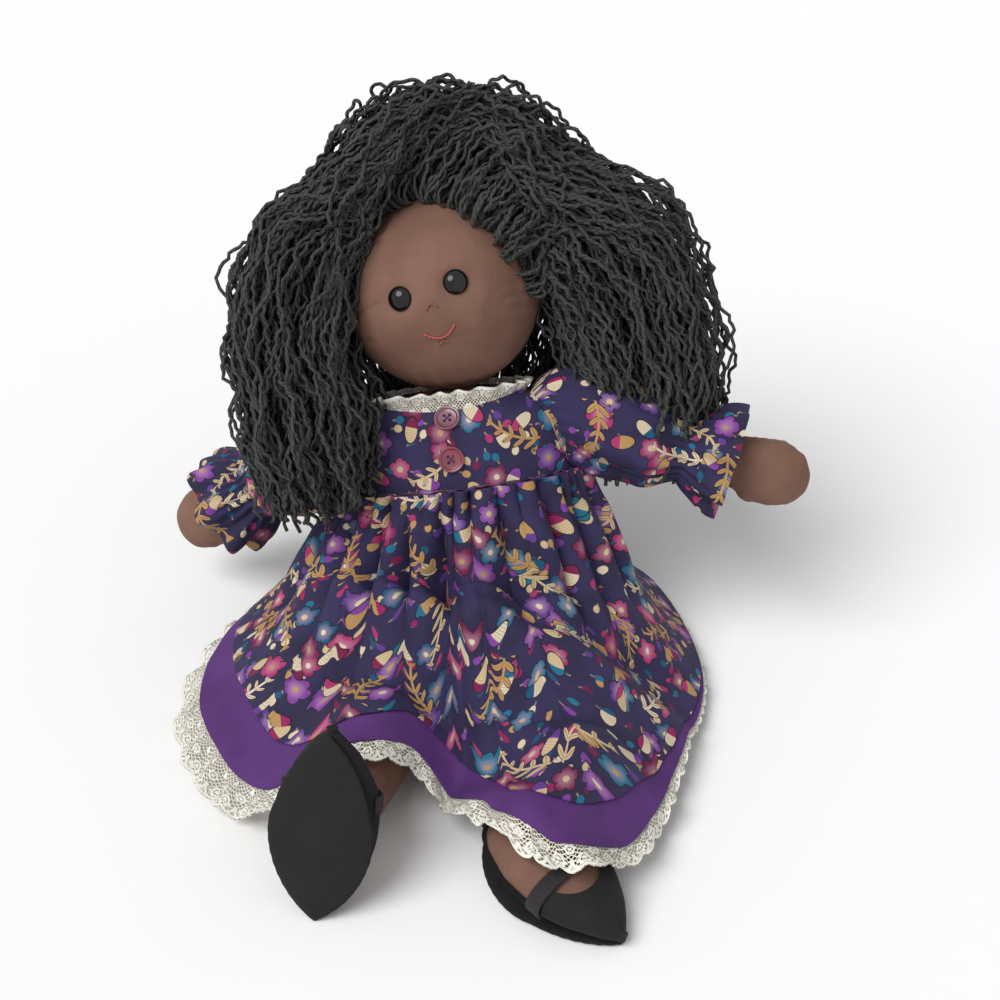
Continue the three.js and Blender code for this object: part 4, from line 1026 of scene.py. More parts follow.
class SubAssembly:
    """What every sub-assembly does with a finished piece."""

    def fit(
        self,
        piece: bpy.types.Object,
        finish: Finish,
        body: str | None = None,
        nodes: tuple = (),
        fill: float | None = None,
    ) -> bpy.types.Object:
        """Gives a piece its finish, its body and the CAD nodes that it stands for, and reports it.

        Args:
            piece: the finished piece.
            finish: its finish.
            body: the body that it rides on, if any.
            nodes: the CAD nodes that it replaces.
            fill: how full of stuffing it is, if it is padded; not used.

        Returns:
            The piece.
        """
        piece.data.materials.clear()
        piece.data.materials.append(finish.material())
        if body:
            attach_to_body(piece, body)
        if nodes:
            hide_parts(*nodes)
        log.info("%s: %d faces, %s", piece.name, len(piece.data.polygons), finish.slot.value)
        return piece

    def declare(self, piece: bpy.types.Object, flat: Measures, held: str, rests_on: list) -> None:
        """Does nothing: the sheet is left as it is."""


@dataclass
class Studio:
    """The camera at the photograph's angle, soft lamps, a pale floor and a plain world."""

    target: tuple = (12.07, 43.06, 95.0)
    elevation: float = 35.0
    distance: float = 850.0
    lens: float = 55.62
    floor: float = 12.0
    sky: float = 0.44
    sun: float = 2.3
    fill: float = 0.1

    def camera(self) -> None:
        """The camera, level and square to the doll."""
        rise = math.radians(self.elevation)
        away = Vector((0, -math.cos(rise), math.sin(rise))) * self.distance
        data = bpy.data.cameras.new("camera")
        data.lens = self.lens
        data.clip_end = 100
        camera = linked("camera", data)
        camera.location = (Vector(self.target) + away) * MM
        camera.rotation_euler = (math.pi / 2 - rise, 0, 0)
        bpy.context.scene.camera = camera

    def lamp(self, name: str, strength: float, turn: tuple, spread: float) -> None:
        """A sun lamp with soft edges."""
        data = bpy.data.lights.new(name, "SUN")
        data.energy = strength
        data.angle = math.radians(spread)
        linked(name, data).rotation_euler = tuple(math.radians(angle) for angle in turn)

    def light(self) -> None:
        """Lamps, world and floor, with white seen behind the doll."""
        scene = bpy.context.scene
        scene.view_settings.view_transform = "Standard"
        self.lamp("main_lamp", self.sun, (24, -32, 0), 40)
        self.lamp("fill_lamp", self.fill, (55, 40, 0), 60)
        scene.world = bpy.data.worlds.new("studio")
        graph = Graph(scene.world)
        ray = graph.node("ShaderNodeLightPath")
        seen = ray["Is Camera Ray"].most(ray["Is Glossy Ray"], ray["Is Transmission Ray"])
        strength = graph.node("ShaderNodeMapRange", None, {"Value": seen, "To Min": self.sky})[0]
        shine = graph.node("ShaderNodeBackground", None, {"Color": (1, 1, 1, 1), "Strength": strength})
        graph.node("ShaderNodeOutputWorld", None, {0: shine[0]})
        floor = primitive("floor", "plane", size=self.floor)
        pale = bpy.data.materials.new("finish_floor")
        Graph(pale).close(colour(252, 252, 252), Roughness=1.0, Specular_IOR_Level=0.0)
        floor.data.materials.append(pale)


@dataclass
class Trunk(SubAssembly):
    """The stuffed trunk and the neck stub that the head turns on."""

    voxel: float = 3.0
    half_width: float = 66.0
    half_depth: float = 35.0
    height: float = 160.0
    # Height share, half width share, half depth share
    rows: tuple = (
        (0, 0.8, 0.84), (0.02, 0.92, 0.98), (0.09, 1, 1.08), (0.24, 1.0, 1.06), (0.42, 0.94, 1.0),
        (0.62, 0.93, 0.98), (0.8, 0.96, 0.94), (0.91, 0.92, 0.82), (0.97, 0.76, 0.66), (1, 0.5, 0.42),
    )

    def half_sizes(self, height: np.ndarray) -> tuple[np.ndarray, np.ndarray]:
        """The trunk's half width and half depth at heights on it, evened out."""
        shares, *sizes = np.array(self.rows).T
        spots = [np.asarray(height, float) + step for step in (-6, -3, 0, 3, 6)]
        wide, deep = (
            sum(np.interp(spot / self.height, shares, size) for spot in spots) / len(spots) for size in sizes
        )
        return wide * self.half_width, deep * self.half_depth

    def build(self) -> None:
        """The trunk and the neck from the CAD solids, softened."""
        for node in ("torso", "neck"):
            piece = stuffed_copy(node, f"stuffed_{node}", self.voxel, 6)
            self.fit(piece, SKIN, "torso", (node,), 0.8)


TRUNK = Trunk()


@dataclass
class Head(SubAssembly):
    """The stuffed head with its eyes and its stitched face."""

    half: tuple = (51.0, 46.0, 53.0)
    cheek_fullness: float = 2.5
    cheek_drop: float = 12.0
    cheek_spread: float = 26.0
    dimple_depth: float = 2.6
    dimple_radius: float = 9.0
    eye_radius: float = 6.6
    eye_height: float = 4.6
    eye_spacing: float = 30.0
    eye_angle: float = 1.0
    # Half widths and whole height of the eye's shank, and the sizes of its washer
    shank: tuple = (1.9, 1.9, 11.0)
    shank_depth: float = 6.0
    washer: tuple = (3.8, 3.8, 2.2)
    washer_depth: float = 7.8
    thread: float = 0.55
    stitch_points: int = 8
    segments: int = 232
    rings: int = 150

    def eye_direction(self, side: int) -> np.ndarray:
        """The direction of an eye from the head's middle."""
        height = self.half[2] * math.sin(math.radians(self.eye_angle))
        forward = math.sqrt(self.half[0] ** 2 - height**2 - (self.eye_spacing / 2) ** 2)
        return unit(np.array([side * self.eye_spacing / 2, -forward, height]))

    def skin(self, direction: np.ndarray, offset: float = 0.0) -> np.ndarray:
        """Points of the face cloth along directions from the head's middle.

        Args:
            direction: unit vectors, shape (..., 3).
            offset: how far the points stand off the cloth, in millimetres.

        Returns:
            Points in the head's frame.
        """
        half = np.array(self.half)
        point = direction * (half + offset)
        cheek = bell(point[..., 2] + self.cheek_drop, self.cheek_spread) * self.cheek_fullness
        plain = point + direction * (cheek * (1 - direction[..., 2] ** 2))[..., None]
        depth = np.zeros(direction.shape[:-1])
        for side in (-1, 1):
            spot = self.eye_direction(side) * half
            depth += bell(np.linalg.norm(plain - spot, axis=-1), self.dimple_radius) * self.dimple_depth
        depth += self.creases(plain)
        return plain - direction * depth[..., None]

    def creases(self, point: np.ndarray) -> np.ndarray:
        """Depth of the soft creases: from the right eye to the temple, by the cheek seam and at the chin."""
        x, y, z = point[..., 0], point[..., 1], point[..., 2]
        front = smooth(-y, 4, 18)
        temple = bell(z - 2.5 - 0.1 * (x + 20), 1.1) * smooth(-x, 22, 27) * smooth(x, -50, -40)
        cheek = 0.25 * np.sin(z * 0.95 + 0.05 * x) * bell(z + 17, 12) * smooth(x, 33, 41)
        other = 0.2 * np.sin(z * 0.8 + 1.0) * bell(z + 22, 12) * smooth(-x, 34, 42)
        chin = 0.5 * bell(z + 26, 2.2) * bell(x - 1, 8)
        gather = 0.35 * np.sin(x * 0.62) * smooth(-z, 34, 44)
        return front * (temple + 1.6 * cheek + 1.6 * other + chin + gather)

    def build(self) -> None:
        """Head, eyes, washers and stitches."""
        fine = {"segments": self.segments, "ring_count": self.rings}
        piece = primitive("stuffed_head", "uv_sphere", radius=1, **fine)
        direction = unit(coordinates(piece))
        move_points(piece, HEAD.of(self.skin(direction)))
        piece.data.shade_smooth()
        self.fit(piece, SKIN, "head", ("head",), 0.9)
        for side in Side:
            self.eye(side)
        self.stitch("nose_stitches", 6, -2.6, -8.5, GOLD, "nose_stitch", 4)
        self.stitch("mouth_stitches", 16, 4.6, -18.5, CORAL, "mouth_stitch", 9)
        self.stitch("chin_stitches", 5.5, -1.8, -27, GOLD, "chin_stitch", 3)

    def eye(self, side: Side) -> None:
        """A glossy domed eye on its shank, with the washer that locks it inside."""
        direction = self.eye_direction(side.sign)
        turn = Vector((0, 0, 1)).rotation_difference(Vector(direction)).to_matrix().to_4x4()
        spot = self.skin(direction)
        place = Place(HEAD.matrix @ Matrix.Translation(Vector(spot)) @ turn)
        dome = primitive(f"glossy_eye_{side}", "uv_sphere", segments=40, ring_count=24, radius=1)
        points = unit(coordinates(dome))
        high = np.where(points[:, 2] > 0, self.eye_height, self.eye_height * 0.32)
        shaped = stacked(points[:, 0] * self.eye_radius, points[:, 1] * self.eye_radius, points[:, 2] * high)
        move_points(dome, place.of(shaped + [0, 0, 0.5]))
        dome.data.shade_smooth()
        shank = primitive(f"shank_{side}", "cylinder", vertices=20, radius=1, depth=1)
        move_points(shank, place.of(coordinates(shank) * MM * self.shank - [0, 0, self.shank_depth]))
        self.fit(joined(dome, shank), EYE, "head", (f"eye_{side}",))
        ring = {"major_radius": 1, "minor_radius": 0.36, "major_segments": 32, "minor_segments": 8}
        washer = primitive(f"washer_{side}", "torus", **ring)
        move_points(washer, place.of(coordinates(washer) * MM * self.washer - [0, 0, self.washer_depth]))
        washer.data.shade_smooth()
        self.fit(washer, WASHER, "head", (f"eye_washer_{side}",))

    def stitch(
        self, name: str, width: float, sag: float, height: float, finish: Finish, node: str, count: int
    ) -> None:
        """An arc of back stitches on the face.

        Args:
            name: the piece's name.
            width: the arc's width, in millimetres.
            sag: how far its middle hangs, or stands up if less than 0.
            height: its height on the face.
            finish: its thread.
            node: the CAD node that it stands for.
            count: how many stitches it has.
        """
        share = np.linspace(-1, 1, count * self.stitch_points + 1)
        x = share * width / 2
        z = height - sag * (1 - share**2)
        direction = stacked(x / self.half[0], 0, z / self.half[2])
        direction[:, 1] = -np.sqrt(1 - (direction**2).sum(-1))
        path = self.skin(unit(direction), self.thread * 0.45)
        first = np.maximum(0, np.arange(count) * self.stitch_points - 1)
        line = path[first[:, None] + np.arange(self.stitch_points + 2)]
        arch = np.sin(np.linspace(0, math.pi, self.stitch_points + 2))
        line = line + unit(line) * (arch * 0.35)[None, :, None]
        radius = self.thread * (0.55 + 0.45 * arch)[None, :]
        self.fit(tubes(name, HEAD.of(line), np.repeat(radius, count, 0), 8), finish, "head", (node,))


HEAD_FORM = Head()


def bend_between(piece: bpy.types.Object) -> None:
    """Bakes a piece's transform into its mesh."""
    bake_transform(piece)


def bend_at_shoulder(piece: bpy.types.Object) -> None:
    """Bakes a piece's transform into its mesh, through bend_between."""
    bend_between(piece)


@dataclass
class Limbs(SubAssembly):
    """The stuffed arms with their mitten hands, and the stuffed legs."""

    arm_voxel: float = 2.0
    leg_voxel: float = 2.4

    def build(self) -> None:
        """Arms and legs from the CAD solids, softened."""
        for side in Side:
            arm = stuffed_copy(f"arm_{side}", f"stuffed_arm_{side}", self.arm_voxel, 8)
            self.fit(self.wrinkled(arm, ARMS[side]), SKIN, None, (f"arm_{side}",), 0.75)
            bend_at_shoulder(arm)
            leg = stuffed_copy(f"leg_{side}", f"stuffed_leg_{side}", self.leg_voxel, 6)
            self.fit(leg, SKIN, f"leg_{side}", (f"leg_{side}",), 0.75)

    def wrinkled(self, arm: bpy.types.Object, place: Place) -> bpy.types.Object:
        """Draws soft puckers in along the seam round the hand."""
        points = place.back(coordinates(arm))
        seam = bell(points[:, 1], 2.2) * smooth(abs(points[:, 0]), 84, 96)
        pucker = 0.35 + 0.35 * np.sin(points[:, 0] * 1.15 + points[:, 2] * 0.4)
        middle = stacked(np.clip(points[:, 0], -120, 120), 0, 0)
        inward = unit(middle - points)
        return move_points(arm, place.of(points + inward * (seam * pucker)[:, None]))


@dataclass
class Footwear(SubAssembly):
    """A black cloth shoe: a padded leaf-shaped sole, an upper with an open instep and a ribbed strap."""

    length: float = 94.0
    half_width: float = 25.5
    height: float = 31.0
    sole: float = 3.6
    upper: float = 1.3
    wall: float = 14.0
    opening_half_width: float = 16.5
    opening_toe: float = 25.0
    strap_width: float = 8.0
    strap_thickness: float = 1.3
    strap_forward: float = 12.0
    ankle_setback: float = 13.0
    ankle_share: float = 0.72
    gap: float = 0.3
    # How high the cutters reach that open the upper, and how wide the one over the heel is
    cut_height: float = 80.0
    cut_width: float = 100.0
    tops: tuple = (0.3, 0.9, 1, 0.96, 0.78, 0.62, 0.34)
    # Control points of the sole's two curves on its left side, from heel to toe, as shares of its half sizes
    leaf_curves: tuple = (
        ((0, 1), (0.9, 0.72), (1.2, 0.1), (0.92, -0.2)), ((0.92, -0.2), (0.75, -0.62), (0.3, -0.9), (0, -1)),
    )
    sole_points: int = 140
    sole_rings: int = 18
    strap_steps: int = 90
    strap_columns: int = 15

    def foot_width(self, share: np.ndarray) -> np.ndarray:
        """Half width of the foot at shares from the heel to the toe."""
        return np.sin(math.pi * np.clip(share, 0.0, 1.0)) ** 0.72 * self.half_width * 0.95

    def foot_top(self, share: np.ndarray) -> np.ndarray:
        """Height of the foot at shares from the heel to the toe."""
        return eased(self.tops, share) * self.height

    def form(self, name: str, offset: float, stations: int = 44, sides: int = 48) -> bpy.types.Object:
        """The foot's closed form, moved out by an offset."""
        share = (1 - np.cos(np.linspace(0, math.pi, stations + 1))) / 2
        y = self.length * (0.5 - share)
        y[0] += offset
        y[-1] -= offset
        wide = np.maximum(self.foot_width(share), 1.3) + offset
        top = self.foot_top(share) + offset
        bottom = self.sole + self.upper + 2 * self.gap - offset
        angle = TURN * np.arange(sides) / sides
        points = stacked(
            wide[:, None] * np.cos(angle),
            y[:, None],
            ((top + bottom) / 2)[:, None] + ((top - bottom) / 2)[:, None] * np.sin(angle),
        )
        *bands, heel, toe = closed_faces(stations + 1, sides)
        return new_piece(name, points, [[face[0], *face[:0:-1]] for face in bands] + [heel[::-1], toe[::-1]])

    def build(self) -> None:
        """Both shoes."""
        for side in Side:
            self.shoe_upper(side)
            self.shoe_sole(side)
            self.strap(side)

    def shoe_upper(self, side: Side) -> None:
        """The upper: a thin wall round the foot, cut open over the instep."""
        outer = self.form(f"shoe_upper_{side}", self.upper)
        inner = self.form("shoe_inside", self.gap)
        radius, level = self.opening_half_width, self.wall + self.cut_height / 2
        mouth = primitive("mouth", "cylinder", vertices=64, radius=radius * MM, depth=self.cut_height * MM)
        points = coordinates(mouth)
        points[:, 1] = np.where(points[:, 1] > 0, points[:, 1] * 5, points[:, 1])
        move_points(mouth, points + [0, radius - self.opening_toe, level])
        collar = primitive("collar", "cube", size=1)
        box = coordinates(collar) * MM
        back = self.strap_forward + self.strap_width / 2 + self.gap
        size = [self.cut_width, self.cut_width, self.cut_height]
        move_points(collar, box * size + [0, self.cut_width / 2 - back, level])
        for cutter in (inner, mouth, collar):
            cut_out(outer, cutter)
        points = coordinates(outer)
        seam = bell(points[:, 2] - 6.5, 1.6) * np.sin(np.arctan2(points[:, 1], points[:, 0]) * 46) * 0.3
        shift = unit(points * [1, 0.4, 0]) * seam[:, None]
        placed = FEET[side].of(points + shift)
        over = 4 - placed[:, 2]
        placed[:, 2] = np.where(over > 0, 4 - over * 3.7 / max(over.max(), 3.7), placed[:, 2])
        move_points(outer, placed)
        outer.data.shade_smooth()
        keep_edges(outer, 50)
        self.fit(outer, BLACK, f"leg_{side}", (f"shoe_{side}",))

    def leaf(self, count: int) -> tuple[np.ndarray, np.ndarray]:
        """The sole's outline from the heel round the toe and back, as a leaf with a rounder heel."""
        t = np.linspace(0, 1, 60)[:, None]
        half = np.concatenate([
            c[0] * (1 - t) ** 3 + 3 * c[1] * t * (1 - t) ** 2 + 3 * c[2] * t**2 * (1 - t) + c[3] * t**3
            for c in np.array(self.leaf_curves)
        ]) * [self.half_width, self.length / 2]
        whole = np.concatenate([half, (half * [-1, 1])[::-1]])
        run = along(whole)
        spots = np.arange(count) / count * run[-1]
        return np.interp(spots, run, whole[:, 0]), np.interp(spots, run, whole[:, 1])

    def shoe_sole(self, side: Side) -> None:
        """The padded sole: a leaf with a crowned face and a puckered seam round it."""
        x, y = self.leaf(self.sole_points)
        angle = TURN * np.arange(self.sole_points) / self.sole_points
        t = (np.arange(1, self.sole_rings) / self.sole_rings)[:, None]
        reach = np.sin(math.pi * np.minimum(t, 1 - t))
        swell = np.sqrt(1 - reach**2)
        middle = self.sole / 2
        high = np.where(t < 0.5, middle - swell * (middle + 1.1), middle + swell * (middle - 0.1))
        pucker = reach * (1 + 0.003 * np.sin(angle * 37) * bell(1 - reach, 0.16))
        rise = np.sin(angle * 41 + 1) * 0.15 * bell(1 - reach, 0.1)
        points = stacked(x * pucker, y * pucker, high + rise)
        if side is Side.LEFT:
            points[..., 2] = np.maximum(points[..., 2], 0.05)
        faces = closed_faces(self.sole_rings - 1, self.sole_points)
        piece = new_piece(f"padded_sole_{side}", FEET[side].of(points), faces)
        with edit_mode(piece):
            bpy.ops.mesh.normals_make_consistent(inside=False)
        self.fit(piece, BLACK, f"leg_{side}", (f"sole_{side}",), 0.5)

    def strap(self, side: Side) -> None:
        """The elastic over the instep, with ribs along it."""
        share = np.array([0.5 + self.strap_forward / self.length])
        bottom = self.sole + self.upper + 2 * self.gap
        wide = self.foot_width(share)[0] + 3 * self.gap
        top = self.foot_top(share)[0]
        tall, middle = (top - bottom) / 2 + 3 * self.gap, (top + bottom) / 2
        start = math.asin((self.wall - 3 - middle) / tall)
        angle = np.linspace(start, math.pi - start, self.strap_steps)[:, None]
        wave = np.linspace(-1, 1, self.strap_columns)
        across = wave * self.strap_width / 2
        rib = 0.22 * abs(np.sin(wave * 5 * math.pi / 2))
        notch = 0.12 * np.sin(np.arange(self.strap_steps) * TURN / 3)
        lift = self.strap_thickness + rib + notch[:, None]
        points = stacked(
            (wide + lift) * np.cos(angle), across - self.strap_forward, middle + (tall + lift) * np.sin(angle)
        )
        run = along(points[:, self.strap_columns // 2])
        surface = Surface(FEET[side].of(points), stacked(across, run[:, None]) * MM)
        piece, _ = cloth_pieces(surface, self.strap_thickness, [f"ribbed_strap_{side}"])[0]
        self.fit(piece, STRAP, f"leg_{side}", (f"strap_{side}",))


@dataclass
class Bodice(SubAssembly):
    """The bodice's front and back panels, the yoke seam, the frill of lace, the buttons and the snap."""

    low: float = 113.2
    high: float = 159.0
    neck_dip: float = 2.6
    clearance: float = 1.9
    thickness: float = 0.8
    armhole_depth: float = 21.0
    armhole_half: float = 15.0
    frill: float = 13.0
    frill_tuck: float = 6.0
    back_tuck: float = 3.0
    frill_waves: int = 23
    frill_half: tuple = (41.0, 24.0)
    frill_columns: int = 321
    frill_rows: int = 9
    frill_thickness: float = 0.45
    # How much longer the frill is than the neckline, which is about a circle of this radius
    frill_fullness: float = 1.45
    neck_radius: float = 34.0
    button_radius: float = 6.9
    button_thickness: float = 2.6
    button_hole: float = 0.85
    hole_spot: float = 1.45
    snap_drop: float = 11.4
    snap_setback: float = 4.4
    snap_steps: int = 32

    def point(self, angle: np.ndarray, height: np.ndarray, offset: float) -> np.ndarray:
        """Points on the dressed trunk: the angle runs from the front towards the doll's left."""
        wide, deep = TRUNK.half_sizes(height)
        reach = self.clearance + offset
        return stacked((wide + reach) * np.sin(angle), -(deep + reach) * np.cos(angle), height)

    def top(self, angle: np.ndarray) -> np.ndarray:
        """The height of the panels' upper edge: the neckline, and down round each armhole."""
        y = abs(np.cos(angle)) * (TRUNK.half_depth + self.clearance) / self.armhole_half
        hole = SHOULDER[1] - self.armhole_depth * np.sqrt(np.clip(1 - y**2, 0, 1))
        high = self.high - self.neck_dip * ((1 + np.cos(angle)) / 2) ** 6
        return hole + (high - hole) * smooth(y, 0.96, 1.06)

    def panel(self, name: str, first: float, last: float, node: str, columns: int, rows: int = 44) -> None:
        """One panel between two angles, with soft wrinkles from its seams."""
        angle = np.radians(np.linspace(first, last, columns))[None, :]
        share = np.linspace(1, 0, rows)[:, None]
        top = self.top(angle)
        height = self.low + (top - self.low) * share
        angle = np.broadcast_to(angle, height.shape)
        offset = 0.45 * np.sin(angle * 23 + height * 0.06) * (1 - share) ** 2
        offset = offset + 0.5 * np.sin(angle * 7 + height * 0.19) * share * (1 - share) * 3
        offset = offset + 0.5 * bell(height - self.low, 2.4)
        points = self.point(angle, height, offset)
        run = along(points)
        flat = stacked(run - run[:, columns // 2:columns // 2 + 1], height) * MM
        surface = Surface(SEAT.of(points), flat)
        piece, size = cloth_pieces(surface, self.thickness, [name])[0]
        self.fit(piece, PRINT, "torso", (node,))
        self.declare(piece, size, "stretched", ["stuffed_torso"])

    def build(self) -> None:
        """Panels, seam, frill, buttons and snap."""
        self.panel("bodice_front_cloth", -90, 90, "bodice_front", 120)
        self.panel("bodice_back_cloth_left", 90, 179.6, "bodice_back_left", 62)
        self.panel("bodice_back_cloth_right", -179.6, -90, "bodice_back_right", 62)
        self.piping()
        self.neck_frill()
        for name, height, finish in (("upper", 151, ROSE), ("lower", 130, RED)):
            self.button(name, height, finish)
        self.snap("stud", -1)
        self.snap("socket", 1)

    def piping(self) -> None:
        """The yoke seam: the skirt's gathered edge turned under the bodice."""
        angle = np.linspace(0, TURN, 241)
        height = np.full_like(angle, self.low + 0.3)
        ripple = 0.25 * np.sin(angle * 52) + 0.15 * np.sin(angle * 31 + 1)
        line = self.point(angle, height + ripple, 0.7)
        piece = tubes("yoke_seam", SEAT.of(line)[None], 0.9, 8)
        self.fit(piece, PRINT, "torso")

    def neck_frill(self) -> None:
        """A narrow standing frill of lace round the neckline."""
        angle = np.linspace(0, TURN, self.frill_columns)[None, :]
        share = np.linspace(1, 0, self.frill_rows)[:, None]
        wave = np.sin(angle * self.frill_waves + 1.2 * np.sin(angle * 5)) * share
        flare = smooth(share, 0.4, 1.0)
        out = 0.6 + 3.4 * flare + 1.6 * wave * flare
        back = (1 - np.cos(angle)) / 2
        stand = self.frill * (share - 0.1 * flare) * (1 - 0.05 * wave)
        rise = stand - self.frill_tuck - self.back_tuck * back
        across, deep = self.frill_half
        points = stacked((across + out) * np.sin(angle), -(deep + out) * np.cos(angle), self.high + rise)
        length = self.frill_fullness * TURN * self.neck_radius
        flat = stacked(angle / TURN * length, (1 - share) * self.frill) * MM
        surface = Surface(SEAT.of(points), flat, closed=True)
        piece, size = cloth_pieces(surface, self.frill_thickness, ["neck_lace_frill"])[0]
        self.fit(piece, LACE, None, ("neck_lace",))
        self.declare(piece, size, "gathered", ["bodice_front_cloth"])
        bend_between(piece)

    def on_chest(self, height: float, front: bool, offset: float) -> Place:
        """A frame on the chest or back, with z straight off the cloth."""
        _, deep = TRUNK.half_sizes(np.array([height - 6.0, height + 6.0]))
        slope = math.degrees(math.atan((deep[0] - deep[1]) / 12))
        middle = float(TRUNK.half_sizes(np.array([height]))[1][0]) + self.clearance + offset
        sign = -1 if front else 1
        return SEAT.step((0, sign * middle, height), x=-sign * (90 - slope))

    def button(self, name: str, height: float, finish: Finish) -> None:
        """A round button with a raised rim, a dish, four holes and crossing threads."""
        size = {"radius": self.button_radius * MM, "depth": self.button_thickness * MM}
        piece = primitive(f"sewn_button_{name}", "cylinder", vertices=48, **size)
        with edit_mode(piece):
            bpy.ops.mesh.select_all(action="DESELECT")
            for face in bmesh.from_edit_mesh(piece.data).faces:
                face.select = face.normal.z > 0.9
            bmesh.update_edit_mesh(piece.data)
            for rim, dish in ((1.3, 0.25), (0.5, 0.7)):
                bpy.ops.mesh.inset(thickness=rim * MM)
                bpy.ops.transform.translate(value=(0, 0, -dish * MM))
        edge = math.radians(40)
        apply(piece, "BEVEL", width=0.35 * MM, segments=3, limit_method="ANGLE", angle_limit=edge)
        for x, y in ((1, 1), (-1, 1), (-1, -1), (1, -1)):
            hole = primitive("hole", "cylinder", vertices=20, radius=self.button_hole * MM, depth=9 * MM)
            move_points(hole, coordinates(hole) + [x * self.hole_spot, y * self.hole_spot, 0])
            cut_out(piece, hole)
        place = self.on_chest(height, True, self.thickness + self.button_thickness / 2 - 0.3)
        move_points(piece, place.of(coordinates(piece)))
        keep_edges(piece, 35)
        self.fit(piece, finish, "torso", (f"button_{name}",))
        share = np.linspace(0, math.pi, 12)
        x = 1.5 * np.cos(share)
        lines = np.array([stacked(x, x * slant, 0.2 + 0.4 * np.sin(share)) for slant in (1, -1)])
        self.fit(tubes(f"button_thread_{name}", place.of(lines), 0.3, 6), PURPLE, "torso")

    def snap(self, name: str, side: int) -> None:
        """Half of the snap at the back opening: a flanged disc with a boss or a hollow."""
        outline = [(0, 0), (4.0, 0), (4.0, 0.5), (2.6, 0.7), (2.2, 1.3), (1.3, 1.5)]
        outline += [(0, 1.6)] if name == "stud" else [(1.1, 0.8), (0, 0.7)]
        steps = self.snap_steps
        angle = TURN * np.arange(steps) / steps
        rings = [stacked(r * np.cos(angle), r * np.sin(angle), h) for r, h in outline[1:-1]]
        points = np.concatenate([*rings, [(0, 0, outline[0][1])], [(0, 0, outline[-1][1])]])
        low, high = len(points) - 2, len(points) - 1
        *faces, first, last = closed_faces(len(rings), steps)
        for middle, ring in ((low, first), (high, last)):
            faces += [[middle, a, b] for a, b in zip(ring, ring[1:] + ring[:1])]
        place = self.on_chest(self.high - self.snap_drop, False, self.thickness)
        spots = place.of(points + [side * self.snap_setback, 0, 0.3])
        piece = new_piece(f"pressed_snap_{name}", spots, faces)
        keep_edges(piece, 35)
        self.fit(piece, SNAP, "torso", (f"snap_{name}",))


